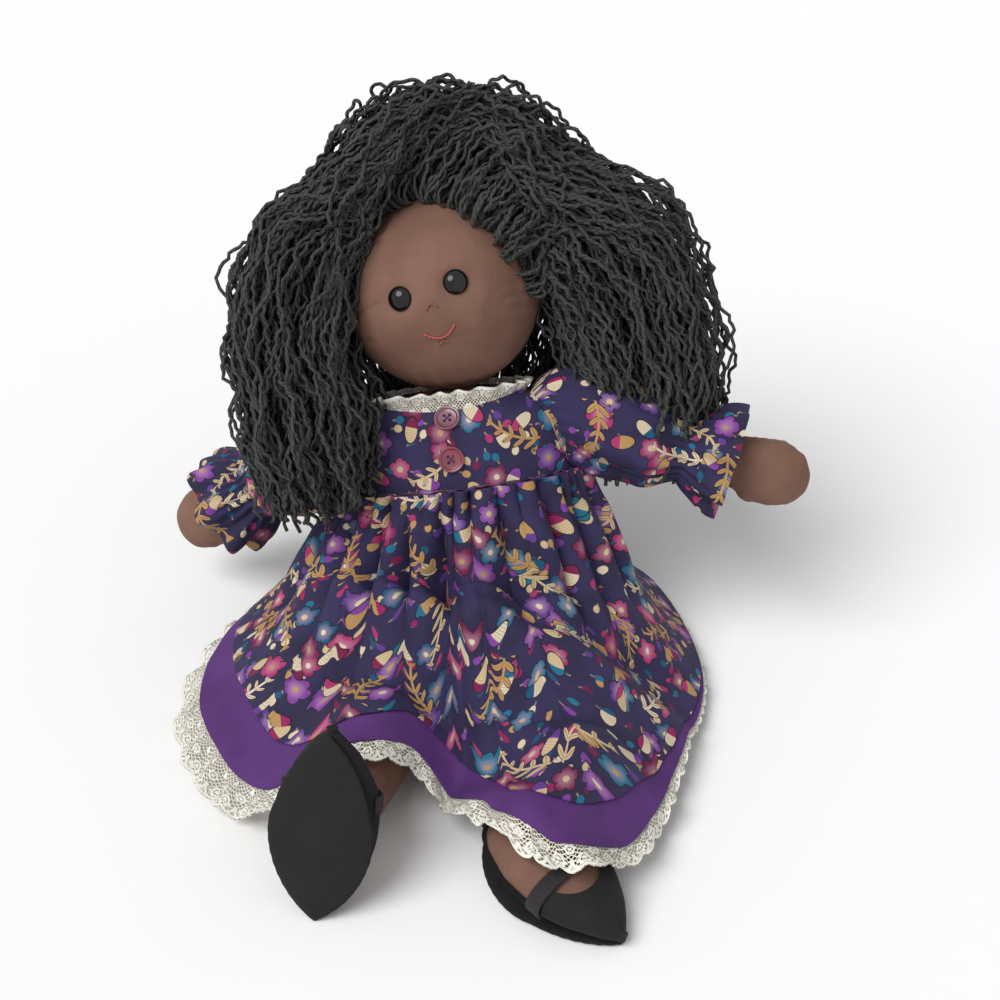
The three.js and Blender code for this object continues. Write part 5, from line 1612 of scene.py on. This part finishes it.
@dataclass
class Sleeves(SubAssembly):
    """Puffed sleeves, gathered into the armholes and drawn in by an elastic above a flared cuff."""

    start: float = -14.0
    gather: float = 68.0
    end: float = 94.0
    root: float = 27.0
    puff: float = 29.0
    drawn: float = 18.8
    cuff: float = 29.0
    columns: int = 193
    rows: int = 60
    flat_radius: float = 30.0
    thickness: float = 0.8
    elastic_radius: float = 16.6
    elastic_half: float = 3.0
    elastic_length: float = 104.0
    elastic_thickness: float = 0.9
    elastic_columns: int = 97
    elastic_rows: int = 9
    # The armhole's half width, and how far it reaches above and below the shoulder
    hole_half: float = 15.5
    hole_up: float = 12.5
    hole_down: float = 22.0

    @property
    def gathered_at(self) -> float:
        """The gather's place, as a share from the armhole to the cuff."""
        return (self.gather - self.start) / (self.end - self.start)

    def radius(self, share: np.ndarray) -> np.ndarray:
        """The sleeve's radius at shares from the armhole to the cuff."""
        gather = self.gathered_at
        upper = eased((self.root, self.puff, self.puff, self.root, self.drawn), share / gather)
        rest = np.clip((share - gather) / (1 - gather), 0, 1)
        flared = self.drawn + (self.cuff - self.drawn) * np.sin(rest * math.pi / 2)
        return np.where(share <= gather, upper, flared)

    def seam(self, angle: np.ndarray, side: Side) -> np.ndarray:
        """The armhole seam on the bodice, in the shoulder's frame."""
        across, up = np.sin(angle), np.cos(angle)
        y = self.hole_half * np.sign(across) * abs(across) ** 0.7
        z = SHOULDER[1] + np.where(up > 0, self.hole_up, self.hole_down) * np.sign(up) * abs(up) ** 0.7
        wide, deep = TRUNK.half_sizes(z)
        x = (wide + 0.6) * np.sqrt(1 - np.minimum((y / (deep + 2.5)) ** 2, 0.9)) - 1.5
        return ARMS[side].back(SEAT.of(stacked(side.sign * x, y, z)))

    def build(self) -> None:
        """Both sleeves with their elastics."""
        for side in Side:
            self.sleeve(side)
            self.elastic(side)

    def sleeve(self, side: Side) -> None:
        """One sleeve, wrinkled at its gathers and creased at the bend."""
        angle = np.linspace(0, TURN, self.columns)[None, :]
        share = np.linspace(0, 1, self.rows)[:, None]
        middle = self.gathered_at
        seed = 1.3 if side is Side.LEFT else 4.1
        near = bell(share - middle, 0.16)
        fine = np.sin(angle * 26 + 2 * np.sin(angle * 3 + seed)) * 1.25 * near
        fine = fine + np.sin(angle * 24 + 1.5 * np.sin(angle * 4 + seed)) * 1.1 * bell(share - 0.04, 0.12)
        fine = fine * (1 - 0.65 * bell(share - middle, 0.018))
        broad = np.sin(angle * 7 + seed + 2.2 * share) * 2.0 * smooth(share, 0.1, 0.5)
        puffs = np.sin(angle * 3 + seed * 2 + 9 * share) * 1.6
        broad = broad + puffs * smooth(share, 0.05, 0.3) * (share < middle)
        cuff = np.sin(angle * 9 + seed + 1.2 * np.sin(angle * 2)) * 2.6 * smooth(share, middle + 0.02, 1)
        reach = self.radius(share) + 0.9 + fine + broad * (1 - bell(share - middle, 0.1)) + cuff
        turn = np.clip(share / 0.4, 0, 1)
        x = side.sign * (self.start + share * (self.end - self.start))
        ring = stacked(0, reach * np.sin(angle), reach * np.cos(angle))
        run = stacked(x, 0, 0)
        lean = np.array(ARMS[side].matrix.inverted() @ SEAT.matrix)[:3, :3]
        square = ring @ lean.T + run
        shape = square + (ring + run - square) * turn[..., None]
        attach = smooth(share, 0.0, 0.2)[..., None]
        points = self.seam(angle, side)[0][None] * (1 - attach) + shape * attach
        length = along(points.swapaxes(0, 1)).mean(0)
        flat = stacked(angle * self.flat_radius, -length[:, None]) * MM
        if side is Side.LEFT:
            points, flat = points[:, ::-1], flat[:, ::-1]
        surface = Surface(ARMS[side].of(points), flat, closed=True)
        piece, size = cloth_pieces(surface, self.thickness, [f"puffed_sleeve_{side}"])[0]
        self.fit(piece, PRINT, None, (f"sleeve_{side}",))
        self.declare(piece, size, "gathered", ["bodice_front_cloth", f"stuffed_arm_{side}"])
        bend_at_shoulder(piece)

    def elastic(self, side: Side) -> None:
        """The elastic inside the sleeve."""
        angle = np.linspace(0, TURN, self.elastic_columns)
        across = self.elastic_half * np.linspace(-1, 1, self.elastic_rows)[:, None]
        reach = self.elastic_radius + 0.25 * np.sin(angle * 24)
        points = stacked(side.sign * self.gather + across, reach * np.cos(angle), reach * np.sin(angle))
        flat = stacked(across, angle / TURN * self.elastic_length) * MM
        surface = Surface(ARMS[side].of(points), flat, closed=True)
        piece, _ = cloth_pieces(surface, self.elastic_thickness, [f"cuff_elastic_{side}"])[0]
        self.fit(piece, CUFF, f"arm_{side}", (f"sleeve_elastic_{side}",))


@dataclass
class Dress(SubAssembly):
    """The gathered skirt, the plain underskirt and the hem lace, on one surface from yoke to ground."""

    yoke: float = 114.0
    waist_gap: float = 2.7
    drop: float = 52.0
    spread: float = 34.0
    lap_height: float = 58.0
    lap_share: float = 0.62
    cover: float = 7.0
    cover_spread: float = 1.6
    blend: float = 9.0
    hem_height: float = 1.4
    folds: int = 10
    fold_depth: float = 3.4
    gathers: int = 37
    scallops: int = 96
    scallop_depth: float = 2.6
    # How far the lace is tucked under, how far it stays off the ground, and its ruffles' count, rise and sway
    tuck: float = 9.0
    off_ground: float = 0.75
    ruffles: int = 43
    ruffle_rise: float = 2.6
    ruffle_sway: float = 1.2
    # How much longer the cloth's run is than its reach from the seat
    slack: float = 1.15
    columns: int = 541
    yoke_width: float = 500.0
    hem_width: float = 800.0
    length: float = 190.0
    bearings: tuple = (0, 8, 15, 23, 31, 42, 58, 90, 122, 150, 180, 210, 240, 262, 284, 300, 318, 330, 343)
    reach: tuple = (
        148, 175, 184, 178, 162, 144, 128, 120, 120, 120, 118, 122, 132, 154, 174, 178, 172, 142, 118)
    lift: tuple = (4, 12, 20, 14, 3, 2, 2, 2, 2, 2, 2, 2, 2, 2, 2, 2, 4, 27, 12)
    skirt_short: tuple = (36, 32, 30, 28, 22, 14, 8, 6, 8, 12, 16, 18, 22, 34, 52, 56, 44, 28, 27)
    under_short: tuple = (12, 12, 11, 10, 8, 6, 3, 3, 4, 6, 8, 8, 10, 18, 22, 24, 18, 12, 10)
    under_lift: float = 1.6
    skirt_lift: float = 3.2
    thickness: float = 0.8
    skirt_rows: int = 64
    under_rows: int = 52
    lace_rows: int = 12
    hip_reach: float = 30.0
    leg_reach: float = 60.0
    # The CAD legs: how far each knee lies off the line to its ankle, across and up, and the radii along them
    knees: dict = field(default_factory=lambda: {Side.LEFT: (22, -2), Side.RIGHT: (-6, -2)})
    leg_radii: tuple = (18.06, 21, 20, 19.2, 16.43, 15.5)
    leg_balls: int = 19
    foot_balls: int = 6
    # Each crease: two ends on the lap, its height, less than 0 for a valley, and its width
    lap_creases: tuple = (
        ((-32, 1), (50, -2), -17, 8), ((-84, 2), (20, -36), 10, 9), ((8, -32), (112, -60), 10, 10),
        ((-3, -66), (94, -92), -5, 6), ((-70, -40), (-10, -72), -5, 7), ((40, -20), (104, -24), -6, 8),
        ((20, -104), (110, -76), 2.5, 7), ((-118, -30), (-60, -76), 3, 8),
    )
    held_up: list = field(default_factory=list)

    def hem(self, values: tuple, turn: np.ndarray) -> np.ndarray:
        """A value round the hem, smooth between the bearings."""
        marks = np.array(self.bearings, float)
        numbers = np.array(values, float)
        bearing = (np.asarray(turn) * 360) % 360
        after = np.searchsorted(marks, bearing, side="right") % len(marks)
        before = (after - 1) % len(marks)
        span = (marks[after] - marks[before]) % 360
        rest = ((bearing - marks[before]) % 360) / span
        slope_a = (numbers[after] - numbers[(before - 1) % len(marks)]) / 2
        slope_b = (numbers[(after + 1) % len(marks)] - numbers[before]) / 2
        r2, r3 = rest**2, rest**3
        return (numbers[before] * (2 * r3 - 3 * r2 + 1) + slope_a * (r3 - 2 * r2 + rest)
                + numbers[after] * (3 * r2 - 2 * r3) + slope_b * (r3 - r2))

    def find_legs(self) -> None:
        """Balls along the legs and the feet that hold the cloth up like a tent."""
        shoes = Footwear()
        share = np.linspace(0, 1, self.leg_balls)
        radius = np.interp(share, np.linspace(0, 1, len(self.leg_radii)), self.leg_radii)
        for side in Side:
            hip = np.array(HIPS[side])
            ankle = FEET[side].of([0, shoes.ankle_setback, shoes.height * shoes.ankle_share]) - hip
            across, up = self.knees[side]
            route = np.array([np.zeros(3), ankle * 0.5 + [across, 0, up], ankle])
            self.held_up += list(zip(spline(route, self.leg_balls) + hip, radius))
            for i in range(1, self.foot_balls + 1):
                rest = np.array([i / (self.foot_balls + 1)])
                size = min(shoes.foot_top(rest)[0] / 2, shoes.foot_width(rest)[0])
                spot = (0, shoes.length * (0.5 - rest[0]), shoes.foot_top(rest)[0] - size)
                self.held_up.append((FEET[side].of(spot), size + shoes.upper))

    def tent(self, x: np.ndarray, y: np.ndarray) -> np.ndarray:
        """Height of the cloth where a leg or a foot holds it up."""
        height = np.zeros_like(x)
        for spot, radius in self.held_up:
            reach = radius + self.cover
            gap = np.hypot(x - spot[0], y - spot[1])
            height = np.maximum(height, (spot[2] + reach) * bell(gap, reach * self.cover_spread))
        return height

    def drape(self, turn: np.ndarray, share: np.ndarray) -> np.ndarray:
        """Points of the surface that all layers share.

        Args:
            turn: bearings round the seat, from 0 ahead of the doll to 1, shape (columns,).
            share: how far from the yoke to the lace's edge, shape (rows, columns).

        Returns:
            Points in millimetres, shape (rows, columns, 3).
        """
        out = stacked(np.sin(TURN * turn), -np.cos(TURN * turn), 0)
        origin = SEAT.of([0, 0, 0]) * [1, 1, 0]
        wide, deep = TRUNK.half_sizes(np.array([self.yoke]))
        wide, deep = wide + self.waist_gap, deep + self.waist_gap
        start = SEAT.of(stacked(wide * out[:, 0], deep * out[:, 1], self.yoke - 0.3))
        end = origin + out * self.hem(self.reach, turn)[:, None]
        end[:, 2] = self.hem(self.lift, turn)
        hang = start + out * self.spread * 0.3 - [0, 0, self.drop]
        lay = start + (end - start) * self.lap_share
        lay[:, 2] = np.maximum(self.lap_height * (1 - self.lap_share), end[:, 2] + self.hem_height)
        s = share[..., None]
        point = start * (1 - s) ** 3 + 3 * hang * s * (1 - s) ** 2 + 3 * lay * s**2 * (1 - s) + end * s**3
        wave = np.sin(TURN * self.folds * turn + 2 * np.sin(2 * TURN * turn)) * self.fold_depth
        grow = np.minimum(1, share * 2.2) * (1 - 0.45 * share)
        point = point + out * (wave * grow * (1 - 0.6 * share))[..., None]
        point[..., 2] = np.maximum(self.hem_height, point[..., 2] + wave * grow * 0.5)
        point = point + out * self.gathering(turn, share)[..., None]
        tent = self.tent(point[..., 0], point[..., 1])
        on_lap = smooth(share, 0.12, 0.3)
        raised = (point[..., 2] + tent + np.sqrt((point[..., 2] - tent) ** 2 + self.blend**2)) / 2
        point[..., 2] += (raised - point[..., 2]) * on_lap
        point[..., 2] += self.rumples(share, point)
        return point

    def gathering(self, turn: np.ndarray, share: np.ndarray) -> np.ndarray:
        """How far the gathers below the yoke stand out: round ridges with narrow valleys, some longer."""
        uneven = 0.9 * np.sin(TURN * 6 * turn) + 0.7 * np.sin(TURN * 11 * turn + 1)
        phase = math.pi * self.gathers * turn + uneven
        strength = 0.7 + 0.3 * np.sin(TURN * 9 * turn + 0.7)
        reach = 0.17 + 0.07 * np.sin(TURN * 14 * turn + 2)
        fine = (abs(np.sin(phase)) ** 0.6 - 0.74) * strength * 14
        fine = fine * bell(share, reach) * smooth(share, -0.015, 0.03)
        middle = math.pi * 19 * turn + 0.9 * np.sin(TURN * 4 * turn + 2)
        broad = (abs(np.sin(middle)) ** 0.65 - 0.66) * 18
        return fine + broad * smooth(share, 0.03, 0.22) * smooth(-share, -0.62, -0.32)

    def rumples(self, share: np.ndarray, point: np.ndarray) -> np.ndarray:
        """Height of the creases over the lap and of small waves in the lying cloth."""
        x, y = point[..., 0], point[..., 1]
        small = np.sin(x * 0.11 + 2 * np.sin(y * 0.05)) * np.sin(y * 0.13 + 1.5 * np.sin(x * 0.04))
        height = 1.2 * small * smooth(share, 0.35, 0.6) * smooth(-share, -1.0, -0.8)
        for (ax, ay), (bx, by), rise, width in self.lap_creases:
            long = math.hypot(bx - ax, by - ay)
            t = ((x - ax) * (bx - ax) + (y - ay) * (by - ay)) / long**2
            gap = ((x - ax) * (by - ay) - (y - ay) * (bx - ax)) / long
            height = height + rise * bell(gap, width) * smooth(t, -0.2, 0.25) * smooth(-t, -1.2, -0.75)
        return height * smooth(share, 0.1, 0.25)

    def layer(self, turn: np.ndarray, share: np.ndarray, lift: float) -> np.ndarray:
        """The drape lifted off itself: outwards where it hangs, and upwards where it lies."""
        angle = np.radians(12 + (80 - 12) * smooth(share, 0, 0.6))
        out = [np.sin(TURN * turn) * np.cos(angle), -np.cos(TURN * turn) * np.cos(angle), np.sin(angle)]
        return self.drape(turn, share) + stacked(*out) * lift

    def ends(self, turn: np.ndarray) -> tuple[np.ndarray, np.ndarray]:
        """Where the printed skirt and the plain one end, as shares of the drape."""
        full = self.hem(self.reach, turn) * self.slack
        return 1 - self.hem(self.skirt_short, turn) / full, 1 - self.hem(self.under_short, turn) / full

    def build(self) -> None:
        """The three layers, each cut into panels where the legs' motions part."""
        self.find_legs()
        turn = np.linspace(0.5, 1.5, self.columns)
        skirt_end, under_end = self.ends(turn)
        rows = np.linspace(0, 1, self.skirt_rows)[:, None]
        self.panels("skirt", turn, rows * skirt_end, self.skirt_lift + self.thickness, PRINT)
        rows = np.linspace(0, 1, self.under_rows)[:, None]
        self.panels("underskirt", turn, rows * under_end, self.under_lift + self.thickness, PURPLE)
        fine = np.linspace(0.5, 1.5, 2 * self.columns)
        _, under_end = self.ends(fine)
        reach = self.hem(self.reach, fine)
        first = under_end - self.tuck / reach
        scallop = abs(np.sin(fine * math.pi * self.scallops)) ** 0.6 * self.scallop_depth / reach
        rows = np.linspace(0, 1, self.lace_rows)[:, None]
        share = first + (1.0 + scallop - 0.012 - first) * rows
        self.panels("hem_lace", fine, share, self.thickness, LACE, lace=True)

    def panels(
        self, name: str, turn: np.ndarray, share: np.ndarray, lift: float, finish: Finish, lace: bool = False
    ) -> None:
        """One layer, cut where the legs' motions part, with the back panel fixed to the trunk and the rest to
        no body.
        """
        points = self.layer(turn, share, lift)
        if lace:
            past = (share - self.ends(turn)[1]) * self.hem(self.reach, turn) * self.slack
            wave = np.sin(turn * TURN * self.ruffles + 2 * np.sin(turn * TURN * 7))
            wave = wave * smooth(past, 0, self.tuck)
            points[..., 2] = np.maximum(points[..., 2] + self.ruffle_rise * wave, self.off_ground)
            points[..., 0] += self.ruffle_sway * wave * np.sin(TURN * turn)
            points[..., 1] -= self.ruffle_sway * wave * np.cos(TURN * turn)
        run = along(points.swapaxes(0, 1)).T * MM
        if lace:
            cone = ()
            flat = stacked((turn - 1) * self.scallops * LACE.scallop, run[-1] - run)
        else:
            spread = (self.hem_width - self.yoke_width) / self.length
            cone = (self.yoke_width / spread * MM, spread)
            flat = stacked(turn, run)
        surface = Surface(points, flat, closed=True, cone=cone)
        middle = float(SEAT.of([0, 0, 0])[0]) * MM
        hip = HIPS[Side.LEFT].y * MM
        a, b = self.hip_reach * MM, self.leg_reach * MM
        corner = Vector((middle, hip, 0))
        slants = [Vector((slant / a, 1 / b, 0)).normalized() for slant in (1, -1)]
        cuts = [(corner, normal) for normal in (Vector((1, 0, 0)), Vector((0, 1, 0)), *slants)]

        def part_of(spot: Vector) -> int:
            """The panel's number: back, then each side's inner and outer part."""
            x, y = spot.x - middle, hip - spot.y
            if y < 0:
                return 0
            inner = abs(x) / a < y / b
            return (1 if inner else 2) if x > 0 else (3 if inner else 4)

        names = [f"{name}_{part}" for part in ("back", "lap_left", "side_left", "lap_right", "side_right")]
        for k, (piece, size) in enumerate(cloth_pieces(surface, self.thickness, names, cuts, part_of)):
            self.fit(piece, finish, "torso" if k == 0 else None, (name,))
            self.declare(piece, size, "hung" if lace else "gathered", ["yoke_seam"])
            if k:
                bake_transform(piece)


@dataclass(frozen=True)
class Fall:
    """A fall of hair: its route, its width and depth at shares along it, its strands and its side."""

    points: tuple
    shares: tuple
    width: float
    depth: float
    count: int
    side: int


FALLS = {
    "hair_left": Fall(
        points=((78, 8, 30), (99, 0, -8), (110, -18, -52), (112, -34, -86)),
        shares=(0.95, 1, 0.95, 0.65), width=45, depth=38, count=350, side=1,
    ),
    "hair_right": Fall(
        points=((-68, 6, 26), (-80, -18, -18), (-71, -42, -60), (-64, -60, -92)),
        shares=(0.95, 1, 1.1, 0.85), width=33, depth=36, count=340, side=-1,
    ),
    "hair_back": Fall(
        points=((6, 60, 20), (6, 63, -34), (4, 54, -84), (4, 44, -112)),
        shares=(0.9, 1, 0.95, 0.7), width=72, depth=26, count=270, side=0,
    ),
}


@dataclass
class Hair(SubAssembly):
    """Kinked yarn sewn along and behind the hairline, that stands up, spreads and falls all round."""

    radius: float = 1.2
    sides: int = 3
    steps: int = 132
    most: int = 190
    crown_count: int = 420
    wisps: int = 60
    off_head: float = 1.6
    off_cloth: float = 5.0
    off_ground: float = 2.5
    # Between these heights on the trunk, strands stay outside the bodice
    bodice_low: float = 60.0
    shoulder_top: float = 158.0
    # How far the strands rise off the head before they turn: least and most
    fall_rise: tuple = (9.0, 15.0)
    crown_rise: tuple = (9.0, 17.0)
    crown_half: tuple = (74.0, 68.0, 74.0)
    core_voxel: float = 5.0
    core_inset: float = 14.0
    cap_rise: float = 4.5
    cap_thickness: float = 3.0
    crown_middle: tuple = (6.0, 20.0, 22.0)
    # The hairline from the top of the forehead down each side, in the head's frame: across and up
    hairline: dict = field(default_factory=lambda: {
        1: [(4, 46), (16, 41), (25, 32), (33, 20), (40, 4), (45, -16)],
        -1: [(4, 46), (-14, 45), (-29, 41), (-41, 31), (-49, 12), (-50, -12)],
    })

    def kinked(self, line: np.ndarray, random: np.random.Generator) -> np.ndarray:
        """Strands with the yarn's crimp and looser waves, which start at the root."""
        count = len(line)
        run = along(line)
        normal, other = carried_normals(line)
        grow = smooth(run, 0, 20)[..., None]
        made = line.copy()
        for low, high, small, large in ((6.5, 9.5, 0.4, 0.9), (16, 26, 0.4, 1.2), (40, 80, 1.5, 4.5)):
            for axis in (normal, other):
                wave = random.uniform(low, high, (count, 1))
                phase = random.uniform(0, TURN, (count, 1))
                size = random.uniform(small, large, (count, 1))
                made = made + axis * (np.sin(TURN * run / wave + phase) * size)[..., None] * grow
        return made

    def strands(self, controls: np.ndarray, random: np.random.Generator) -> np.ndarray:
        """Kinked strands through control points, kept off the ground and out of the head and the bodice."""
        line = self.kinked(spline(controls, self.steps), random)
        line = HAIR.of(line)
        inside = HEAD.back(line)
        reach = np.linalg.norm(inside / (np.array(HEAD_FORM.half) + self.off_head), axis=-1, keepdims=True)
        pushed = inside / np.maximum(np.minimum(reach, 1), 0.3)
        line = SEAT.back(HEAD.of(np.where(reach < 1, pushed, inside)))
        wide, deep = TRUNK.half_sizes(line[..., 2])
        reach = np.hypot(line[..., 0] / (wide + self.off_cloth), line[..., 1] / (deep + self.off_cloth))
        height = line[..., 2]
        level = (height > self.bodice_low) & (height < self.shoulder_top) & (reach < 1)
        line[..., :2] /= np.where(level, np.maximum(reach, 0.3), 1)[..., None]
        line = SEAT.of(line)
        line[..., 2] = np.maximum(line[..., 2], self.off_ground)
        return line

    def roots(self, side: np.ndarray, down: np.ndarray, back: np.ndarray) -> tuple[np.ndarray, np.ndarray]:
        """Roots on the head and the directions off it.

        Args:
            side: +1 or -1 for each strand.
            down: how far down the hairline, from 0 at the forehead's top to 1.
            back: how far behind the hairline, from 0 to 1.

        Returns:
            Roots and unit vectors off the head, in the hair's frame.
        """
        across = np.empty((len(side), 2))
        for sign, marks in self.hairline.items():
            marks = np.array(marks, float)
            spot = down * (len(marks) - 1)
            both = np.stack([np.interp(spot, np.arange(len(marks)), marks[:, k]) for k in (0, 1)], -1)
            across[side == sign] = both[side == sign]
        half = np.array(HEAD_FORM.half)
        flat = across / half[[0, 2]]
        front = np.sqrt(np.clip(1 - (flat**2).sum(-1), 0.01, 1))
        direction = stacked(flat[:, 0], -front, flat[:, 1])
        direction = unit(direction + back[:, None] * [0, 1.9, 0.15])
        root = HAIR.back(HEAD.of(direction * (half - 1.5)))
        off = HAIR.back(HEAD.of(direction * half * 1.2)) - root
        return root, unit(off)

    def over(
        self, side: np.ndarray, down: np.ndarray, back: np.ndarray, layer: np.ndarray, share: float
    ) -> np.ndarray:
        """Points over the crown: from 0 above the root to 1 where the falls begin."""
        start = -22 + 98 * down
        high = np.radians(start + (100 - start) * share)
        bearing = np.radians(-38 + 92 * back)
        away = np.sin(high)
        spot = stacked(side * away * np.cos(bearing), abs(away) * np.sin(bearing), np.cos(high))
        return np.array(self.crown_middle) + spot * self.crown_half * layer[:, None]

    def fall(self, name: str, random: np.random.Generator) -> None:
        """One fall: strands from the hairline that keep their places in the bundle."""
        route = FALLS[name]
        count = route.count
        points = np.array(route.points, float)
        tangent = unit(np.gradient(points, axis=0))
        depthwise = unit(np.cross([1.0, 0, 0], tangent))
        widthwise = unit(np.cross(tangent, depthwise))
        down, back = random.uniform(0, 1, count), random.uniform(0, 1, count) ** 1.3
        far = random.normal(0, 0.22, (2, count))
        if route.side:
            side = np.full(count, route.side)
            out = np.clip(side * (0.85 - 1.7 * down + far[0]), -1, 1)
            behind = np.clip(-0.9 + 1.8 * back + far[1], -1, 1)
        else:
            side = np.where(random.uniform(-1, 1, count) > 0, 1, -1)
            down, back = down * 0.9, 0.75 + 0.5 * back
            out = np.clip(side * down + far[0] * 2, -1, 1)
            behind = np.clip(0.9 - 1.5 * down + far[1] * 2, -1, 1)
        round_off = np.maximum(np.hypot(out, behind), 1)
        out, behind = out / round_off, behind / round_off
        size = np.array(route.shares)[:, None]
        body = (points + out[:, None, None] * widthwise * size * route.width
                + behind[:, None, None] * depthwise * size * route.depth)
        body = body + random.normal(0, 2.2, body.shape) + random.normal(0, 2.5, (count, 1, 3))
        longer = random.uniform(-0.45, 0.3, (count, 1)) + 0.25 * (not route.side)
        body[:, -1] += (body[:, -1] - body[:, -2]) * longer
        root, off = self.roots(side, down, np.minimum(back, 1))
        layer = 0.80 + 0.17 * (1 - down) + random.uniform(-0.07, 0.03, count)
        stations = [root, root + off * random.uniform(*self.fall_rise, (count, 1))]
        stations += [self.over(side, down, np.minimum(back, 1.1), layer, share) for share in (0.22, 0.5)]
        controls = np.concatenate([np.stack(stations, 1), body], 1)
        self.finish(name, self.strands(controls, random))

    def crown(self, random: np.random.Generator) -> None:
        """Strands that stand up from the hairline and behind it, and lie over the top, with a few wisps."""
        count = self.crown_count
        side = np.where(np.arange(count) % 2, 1, -1)
        down, back = random.uniform(0, 1, count) ** 1.2, random.uniform(0, 1, count)
        root, off = self.roots(side, down * 0.8, back)
        layer = random.uniform(0.78, 1.0, count)
        layer = np.where(np.arange(count) < self.wisps, random.uniform(1.0, 1.12, count), layer)
        last = random.uniform(0.55, 1.15, count)
        stations = [root, root + off * random.uniform(*self.crown_rise, (count, 1))]
        back = back * 1.15
        stations += [self.over(side, down, back, layer, share * last) for share in (0.12, 0.36, 0.68, 1.0)]
        controls = np.stack(stations, 1)
        controls[:, 2:] += random.normal(0, 2.4, controls[:, 2:].shape)
        self.finish("hair_crown", self.strands(controls, random))

    def finish(self, node: str, line: np.ndarray) -> None:
        """Tubes for the strands over a dark matted base; the falls ride on no body."""
        falls = node != "hair_crown"
        parts = math.ceil(len(line) / self.most)
        for k in range(parts):
            piece = tubes(f"yarn_{node}_{k + 1}", line[k::parts], self.radius, self.sides)
            if k == 0:
                piece = joined(piece, self.core(node) if falls else self.cap())
            self.fit(piece, YARN, None if falls else "head", (node,))
            if falls:
                bend_between(piece)

    def core(self, node: str) -> bpy.types.Object:
        """The matted inside of a fall: a smaller, lumpy copy of its CAD solid, kept under the strands."""
        core = stuffed_copy(node, f"core_{node}", self.core_voxel, 4)
        core.data.uv_layers.new(name="cloth")
        spots = coordinates(core)
        normals = np.array([vertex.normal[:] for vertex in core.data.vertices])
        bumps = np.sin(spots[:, 0] * 0.7) * np.sin(spots[:, 1] * 0.8) * np.sin(spots[:, 2] * 0.6)
        spots = HAIR.back(spots - normals * (self.core_inset + 2 * bumps)[:, None])
        middle = np.array(self.crown_middle)
        reach = np.linalg.norm((spots - middle) / self.crown_half, axis=-1, keepdims=True)
        under = middle + (spots - middle) * 0.7 / np.maximum(reach, 0.7)
        spots = spots + (under - spots) * smooth(spots[:, 2:], -45, 5)
        low = spots[:, 2].min()
        spots[:, 2] += 14 * (1 - smooth(spots[:, 2], low, low + 40))
        return move_points(core, HAIR.of(spots))

    def cap(self) -> bpy.types.Object:
        """The matted base on the head: a wall over the cloth, behind the hairline."""
        cap = primitive("yarn_cap", "uv_sphere", segments=96, ring_count=64, radius=1)
        direction = unit(coordinates(cap))
        corners = np.empty(len(cap.data.loops), np.int32)
        cap.data.loops.foreach_get("vertex_index", corners)
        x, y, z = direction[corners].T
        uv = stacked(np.arctan2(x, -y) / TURN + 0.5, np.arccos(z) / math.pi)
        cap.data.uv_layers.new(name="cloth").data.foreach_set("uv", uv.astype(np.float32).ravel())
        x, y, z = (direction * HEAD_FORM.half).T
        edge = [np.interp(z, *np.array(self.hairline[sign])[::-1].T[::-1]) * sign for sign in (1, -1)]
        window = np.where(x > 0, x < edge[0] + 3, x > -edge[1] - 3) & (z < 48)
        face = (y < 6 + 20 * (z < -20)) & (window | (z < -20))
        move_points(cap, HEAD.of(HEAD_FORM.skin(direction, self.cap_rise)))
        with edit_mode(cap):
            shape = bmesh.from_edit_mesh(cap.data)
            shape.verts.ensure_lookup_table()
            bmesh.ops.delete(shape, geom=[shape.verts[i] for i in np.flatnonzero(face)], context="VERTS")
            bmesh.update_edit_mesh(cap.data)
        return apply(cap, "SOLIDIFY", thickness=self.cap_thickness * MM, offset=-1)

    def build(self) -> None:
        """The crown and the three falls, each from its own seed."""
        for seed, name in enumerate(FALLS):
            self.fall(name, np.random.default_rng(11 + seed))
        self.crown(np.random.default_rng(7))


def main() -> None:
    """Builds the doll in order: studio, body, clothes, hair."""
    logging.basicConfig(level=logging.INFO, format="%(name)s %(message)s")
    studio = Studio()
    studio.camera()
    bpy.ops.object.select_all(action="DESELECT")
    for part in (TRUNK, HEAD_FORM, Limbs(), Footwear(), Bodice(), Sleeves(), Dress(), Hair()):
        part.build()
    studio.light()
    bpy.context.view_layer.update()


if __name__ == "__main__":
    main()
